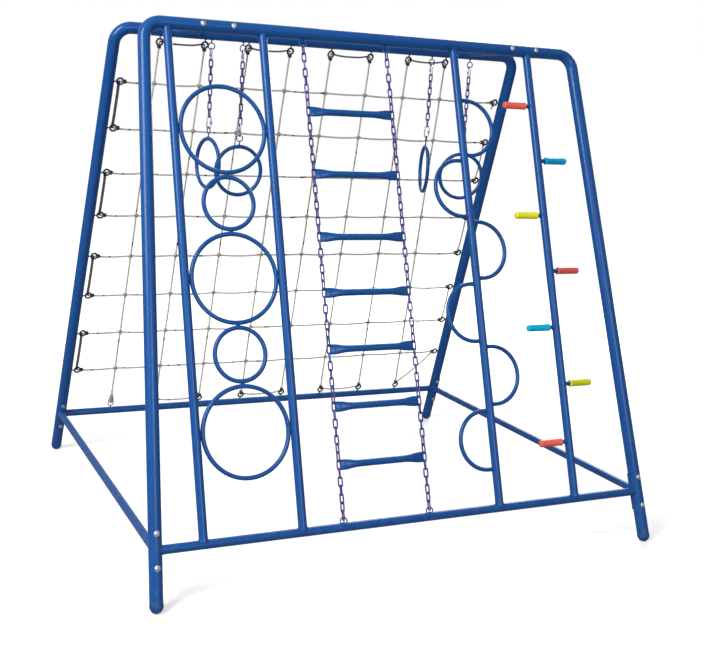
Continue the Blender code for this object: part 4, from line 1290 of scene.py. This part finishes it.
class CLIMBING_OT_net(bpy.types.Operator):
    """Knot the rope net and lace it through its eyelets"""

    bl_idname = "climbing.net"
    bl_label = "Rope net"

    def execute(self, context):
        """Add the ropes, knots, hitches and the end's lashing."""
        detail = context.scene.climbing_detail
        radius = detail.rope_radius
        lines = range(NET_LINES)
        last = NET_LINES - 1
        out = slope_out(REAR)
        up = slope_up(REAR)
        chance = random.Random(7)
        ropes = []
        for k in lines:
            level = [flat_eye("left", k)[0]] + [crossing(k, c) for c in lines]
            ropes.append(sagging_run(level + [flat_eye("right", k)[0]], True, chance))
            upright = [flat_eye("top", k)[0]] + [crossing(r, k) for r in lines]
            ropes.append(sagging_run(upright + [flat_eye("bottom", k)[0]], False, chance))
        pairs = []
        for where, first in (("left", 0), ("top", 0), ("right", 1), ("bottom", 1)):
            pairs += [((where, k), (where, k + 1)) for k in range(first, last, 2)]
        pairs.append((("right", last), ("bottom", last)))
        doubled = []
        for start, end in pairs:
            eye_a = flat_eye(*start)[0]
            eye_b = flat_eye(*end)[0]
            lace = lace_path(eye_a, eye_b, detail.rope_sag)
            (doubled if start[0] in ("left", "top") else ropes).append(lace)
            if start[0] == "left":
                travel = (eye_b - eye_a).normalized()
                shift = Vector((travel.y, -travel.x)) * radius * 1.2
                aside = net_point(shift) - net_point(Vector((0.0, 0.0)))
                doubled.append([spot + aside for spot in lace])
        right_end = flat_eye("right", 0)[0]
        tail = [net_point(right_end + Vector((-x, -fall)), off) for x, fall, off in LACE_TAIL]
        ropes.append(smooth_path(tail, 6))
        add_rope("net_ropes", "net_rope", ropes, radius, stands_for=["climbing_net"])
        add_rope("net_laces", "lace_rope", doubled, radius)

        knots = []
        for row in lines:
            for column in lines:
                centre = net_point(crossing(row, column))
                for diagonal, wide in zip((X + up, X - up), KNOT_HALF_WIDTHS):
                    bulge = X * KNOT_SHIFT * chance.uniform(-1.0, 1.0)
                    knots.append(loop_path(centre + bulge, diagonal.normalized() * wide,
                                           out * (radius * 1.55), 16))
        add_rope("net_knots", "knot_rope", knots, radius * 0.80, closed=True, sides=6)

        wraps = []
        coils = []
        wrap_r = radius * 1.75
        for where in ("left", "right", "top", "bottom"):
            for k in lines:
                if (where, k) == ("bottom", 0):
                    continue
                eye, knot = flat_eye(where, k)
                inward, toward, side = eye_axes(eye, knot)
                for away in HITCHES_AWAY:
                    wraps.append(loop_path(net_point(eye + inward * (EYE_R + away)),
                                           side * wrap_r + toward * HITCH_TILT, out * wrap_r, 14))
                coil = []
                for turn in turns_of(COIL_TURNS * COIL_STEPS):
                    spin = turn * COIL_TURNS
                    spoke = toward * math.cos(turn) + side * math.sin(turn)
                    coil.append(net_point(eye) + spoke * (EYE_R + COIL_R * math.cos(spin))
                                + out * COIL_R * math.sin(spin))
                coils.append(coil)
        add_rope("net_hitches", "hitch_rope", wraps, radius * 0.80, closed=True, sides=6)
        add_rope("net_eye_windings", "hitch_rope", coils, WINDING_R, closed=True, sides=5)

        eye, knot = flat_eye("bottom", 0)
        inward, _, side = eye_axes(eye, knot)
        winding = []
        for n in range(LASHING_TURNS * LASHING_STEPS + 1):
            t = n / LASHING_STEPS
            wide = radius * (3.3 - 1.9 * t / LASHING_TURNS)
            spot = net_point(eye + inward * (EYE_R * 0.8 + LASHING_STEP * t))
            winding.append(spot + (side * math.cos(2 * math.pi * t)
                                   + out * math.sin(2 * math.pi * t)) * wide)
        add_rope("net_lashing", "lashing_cord", [winding], LASHING_R, sides=6)
        return {"FINISHED"}


class CLIMBING_OT_bolts(bpy.types.Operator):
    """Bolt the saddle plates to the main tubes"""

    bl_idname = "climbing.bolts"
    bl_label = "Bolts and dome nuts"

    def execute(self, context):
        """Model one bolt head and one dome nut, and copy them to every saddle."""
        head = joined([turned(profile, 28) for profile in (WASHER, HEAD_DOME)])
        nut = joined([turned(profile, vertices) for profile, vertices in (
            (NUT_WASHER, 28), (NUT_HEXAGON, 6), (NUT_DOME, 24))])
        plate = context.scene.climbing_detail.plate
        heads = []
        nuts = []
        nuts_in_shade = []
        for side in (FRONT, REAR):
            spots = []
            for hand in (LEFT, RIGHT):
                spots += [(leg_point(side, hand, BAR_UP) + leg_direction(side, hand) * step, nuts)
                          for step in (-LEG_BOLT_STEP, LEG_BOLT_STEP)]
            # The spacers' nuts sit in shade between the top bars, so they take the blue coat as
            # painted shade
            for x in SPACER_X.values():
                spots += [(on_slope(side, x + step, SLOPE), nuts_in_shade)
                          for step in (-TOP_BOLT_STEP, TOP_BOLT_STEP)]
            out = slope_out(side)
            for place, row in spots:
                heads.append(copy_of(head, facing(place + out * (TUBE_R - HEAD_SINK), out)))
                row.append(copy_of(nut, facing(place - out * (TUBE_R + plate), -out)))
        settle(joined(heads), "saddle_bolt_heads", "bright_zinc")
        settle(joined(nuts), "saddle_dome_nuts", "bright_zinc")
        # The blue coat on these nuts is painted shade
        settle(joined(nuts_in_shade), "spacer_dome_nuts", "blue_powder_coat")
        drop(head, nut)
        return {"FINISHED"}


def area_lamp(name, place, target, width, height, power):
    """Hang a soft lamp that points at a spot."""
    deselect()
    bpy.ops.object.light_add(type="AREA", location=place)
    lamp = bpy.context.object
    lamp.name = name
    lamp.data.shape = "RECTANGLE"
    lamp.data.size = width
    lamp.data.size_y = height
    lamp.data.energy = power
    lamp.rotation_euler = (target - Vector(place)).to_track_quat("-Z", "Y").to_euler()


class CLIMBING_OT_stage(bpy.types.Operator):
    """Set the floor, the lamps, the sky and the camera"""

    bl_idname = "climbing.stage"
    bl_label = "Stage"

    def execute(self, context):
        """Add the studio round the climbing frame."""
        scene = context.scene
        deselect()
        bpy.ops.mesh.primitive_plane_add(size=60.0, location=(0.0, 0.0, -0.0004))
        floor = bpy.context.object
        floor.name = "studio_floor"
        bake_place(floor)
        paper = bpy.data.materials.new("floor_paper")
        paper.use_nodes = True
        tree = paper.node_tree
        seen = tree.nodes.new("ShaderNodeLightPath").outputs["Is Camera Ray"]
        spot = tree.nodes.new("ShaderNodeTexCoord")
        reach = tree.nodes.new("ShaderNodeVectorMath")
        reach.operation = "LENGTH"
        tree.links.new(spot.outputs["Object"], reach.inputs[0])
        # Painted light: the floor glows for the camera, faint near the frame and nearly white far
        # off
        painted_glow = map_node(tree, reach.outputs["Value"], GLOW_NEAR[0], GLOW_FAR[0],
                        GLOW_NEAR[1], GLOW_FAR[1])
        looks = {"Roughness": 0.9, "Specular IOR Level": 0.1,
                 "Base Color": mix_node(tree, seen, PAPER_BOUNCE, PAPER_SEEN),
                 "Emission Color": WHITE,
                 "Emission Strength": math_node(tree, "MULTIPLY", seen, painted_glow)}
        for label, value in looks.items():
            feed(tree, tree.nodes["Principled BSDF"].inputs[label], value)
        floor.data.materials.append(paper)

        world = bpy.data.worlds.new("studio_sky")
        scene.world = world
        world.use_nodes = True
        sky = world.node_tree
        rays = sky.nodes.new("ShaderNodeLightPath").outputs
        mirrored = math_node(sky, "MULTIPLY_ADD", rays["Is Glossy Ray"],
                             SKY_MIRRORED - SKY_LIGHT, SKY_LIGHT)
        strength = math_node(sky, "MULTIPLY_ADD", rays["Is Camera Ray"], 1.0 - SKY_LIGHT,
                             mirrored)
        feed(sky, sky.nodes["Background"].inputs["Color"], WHITE)
        feed(sky, sky.nodes["Background"].inputs["Strength"], strength)

        middle = Vector((0.0, 0.0, 0.8))
        area_lamp("key_lamp", (-3.9, -1.9, 4.0), middle, 2.0, 3.4, 275.0)
        area_lamp("fill_lamp", (-0.3, -4.9, 2.2), middle, 1.8, 1.8, 60.0)
        area_lamp("back_lamp", (3.3, 3.4, 3.0), middle, 3.0, 3.0, 190.0)

        camera_data = bpy.data.cameras.new("photo_camera")
        camera = bpy.data.objects.new("photo_camera", camera_data)
        scene.collection.objects.link(camera)
        turn = Matrix.Rotation(CAMERA_TURN.length, 3, CAMERA_TURN.normalized())
        camera.matrix_world = placed(CAMERA_PLACE, turn[0], -turn[1], -turn[2])
        camera_data.sensor_width = SENSOR_WIDTH
        camera_data.sensor_fit = "HORIZONTAL"
        wide, high = IMAGE_PIXELS
        camera_data.lens = SENSOR_WIDTH * FOCAL_PIXELS / wide
        camera_data.shift_x = (wide / 2 - CENTRE_PIXELS[0]) / wide
        camera_data.shift_y = (CENTRE_PIXELS[1] - high / 2) / wide
        scene.camera = camera
        scene.view_settings.view_transform = "Standard"
        return {"FINISHED"}


STEPS = (
    CLIMBING_OT_finishes,
    CLIMBING_OT_frames,
    CLIMBING_OT_caps,
    CLIMBING_OT_bars,
    CLIMBING_OT_braces,
    CLIMBING_OT_rails,
    CLIMBING_OT_grips,
    CLIMBING_OT_ring_ladder,
    CLIMBING_OT_hoops,
    CLIMBING_OT_chain_ladder,
    CLIMBING_OT_gym_rings,
    CLIMBING_OT_net,
    CLIMBING_OT_bolts,
    CLIMBING_OT_stage,
)


class CLIMBING_PT_panel(bpy.types.Panel):
    """The climbing frame's settings and steps"""

    bl_label = "Climbing frame"
    bl_idname = "CLIMBING_PT_panel"
    bl_space_type = "VIEW_3D"
    bl_region_type = "UI"
    bl_category = "Climbing frame"

    def draw(self, context):
        """List the settings and the steps."""
        for settings in (context.scene.climbing_paint, context.scene.climbing_detail):
            for name in settings.__annotations__:
                self.layout.prop(settings, name)
        for step in STEPS:
            self.layout.operator(step.bl_idname)


CLASSES = (PaintSettings, DetailSettings, *STEPS, CLIMBING_PT_panel)


def register():
    """Register the classes and their settings."""
    for made in CLASSES:
        bpy.utils.register_class(made)
    bpy.types.Scene.climbing_paint = PointerProperty(type=PaintSettings)
    bpy.types.Scene.climbing_detail = PointerProperty(type=DetailSettings)


def unregister():
    """Remove the classes and their settings."""
    del bpy.types.Scene.climbing_paint
    del bpy.types.Scene.climbing_detail
    for made in reversed(CLASSES):
        bpy.utils.unregister_class(made)


def main():
    """Build every piece in order."""
    register()
    for step in STEPS:
        area, name = step.bl_idname.split(".")
        getattr(getattr(bpy.ops, area), name)()


if __name__ == "__main__":
    main()
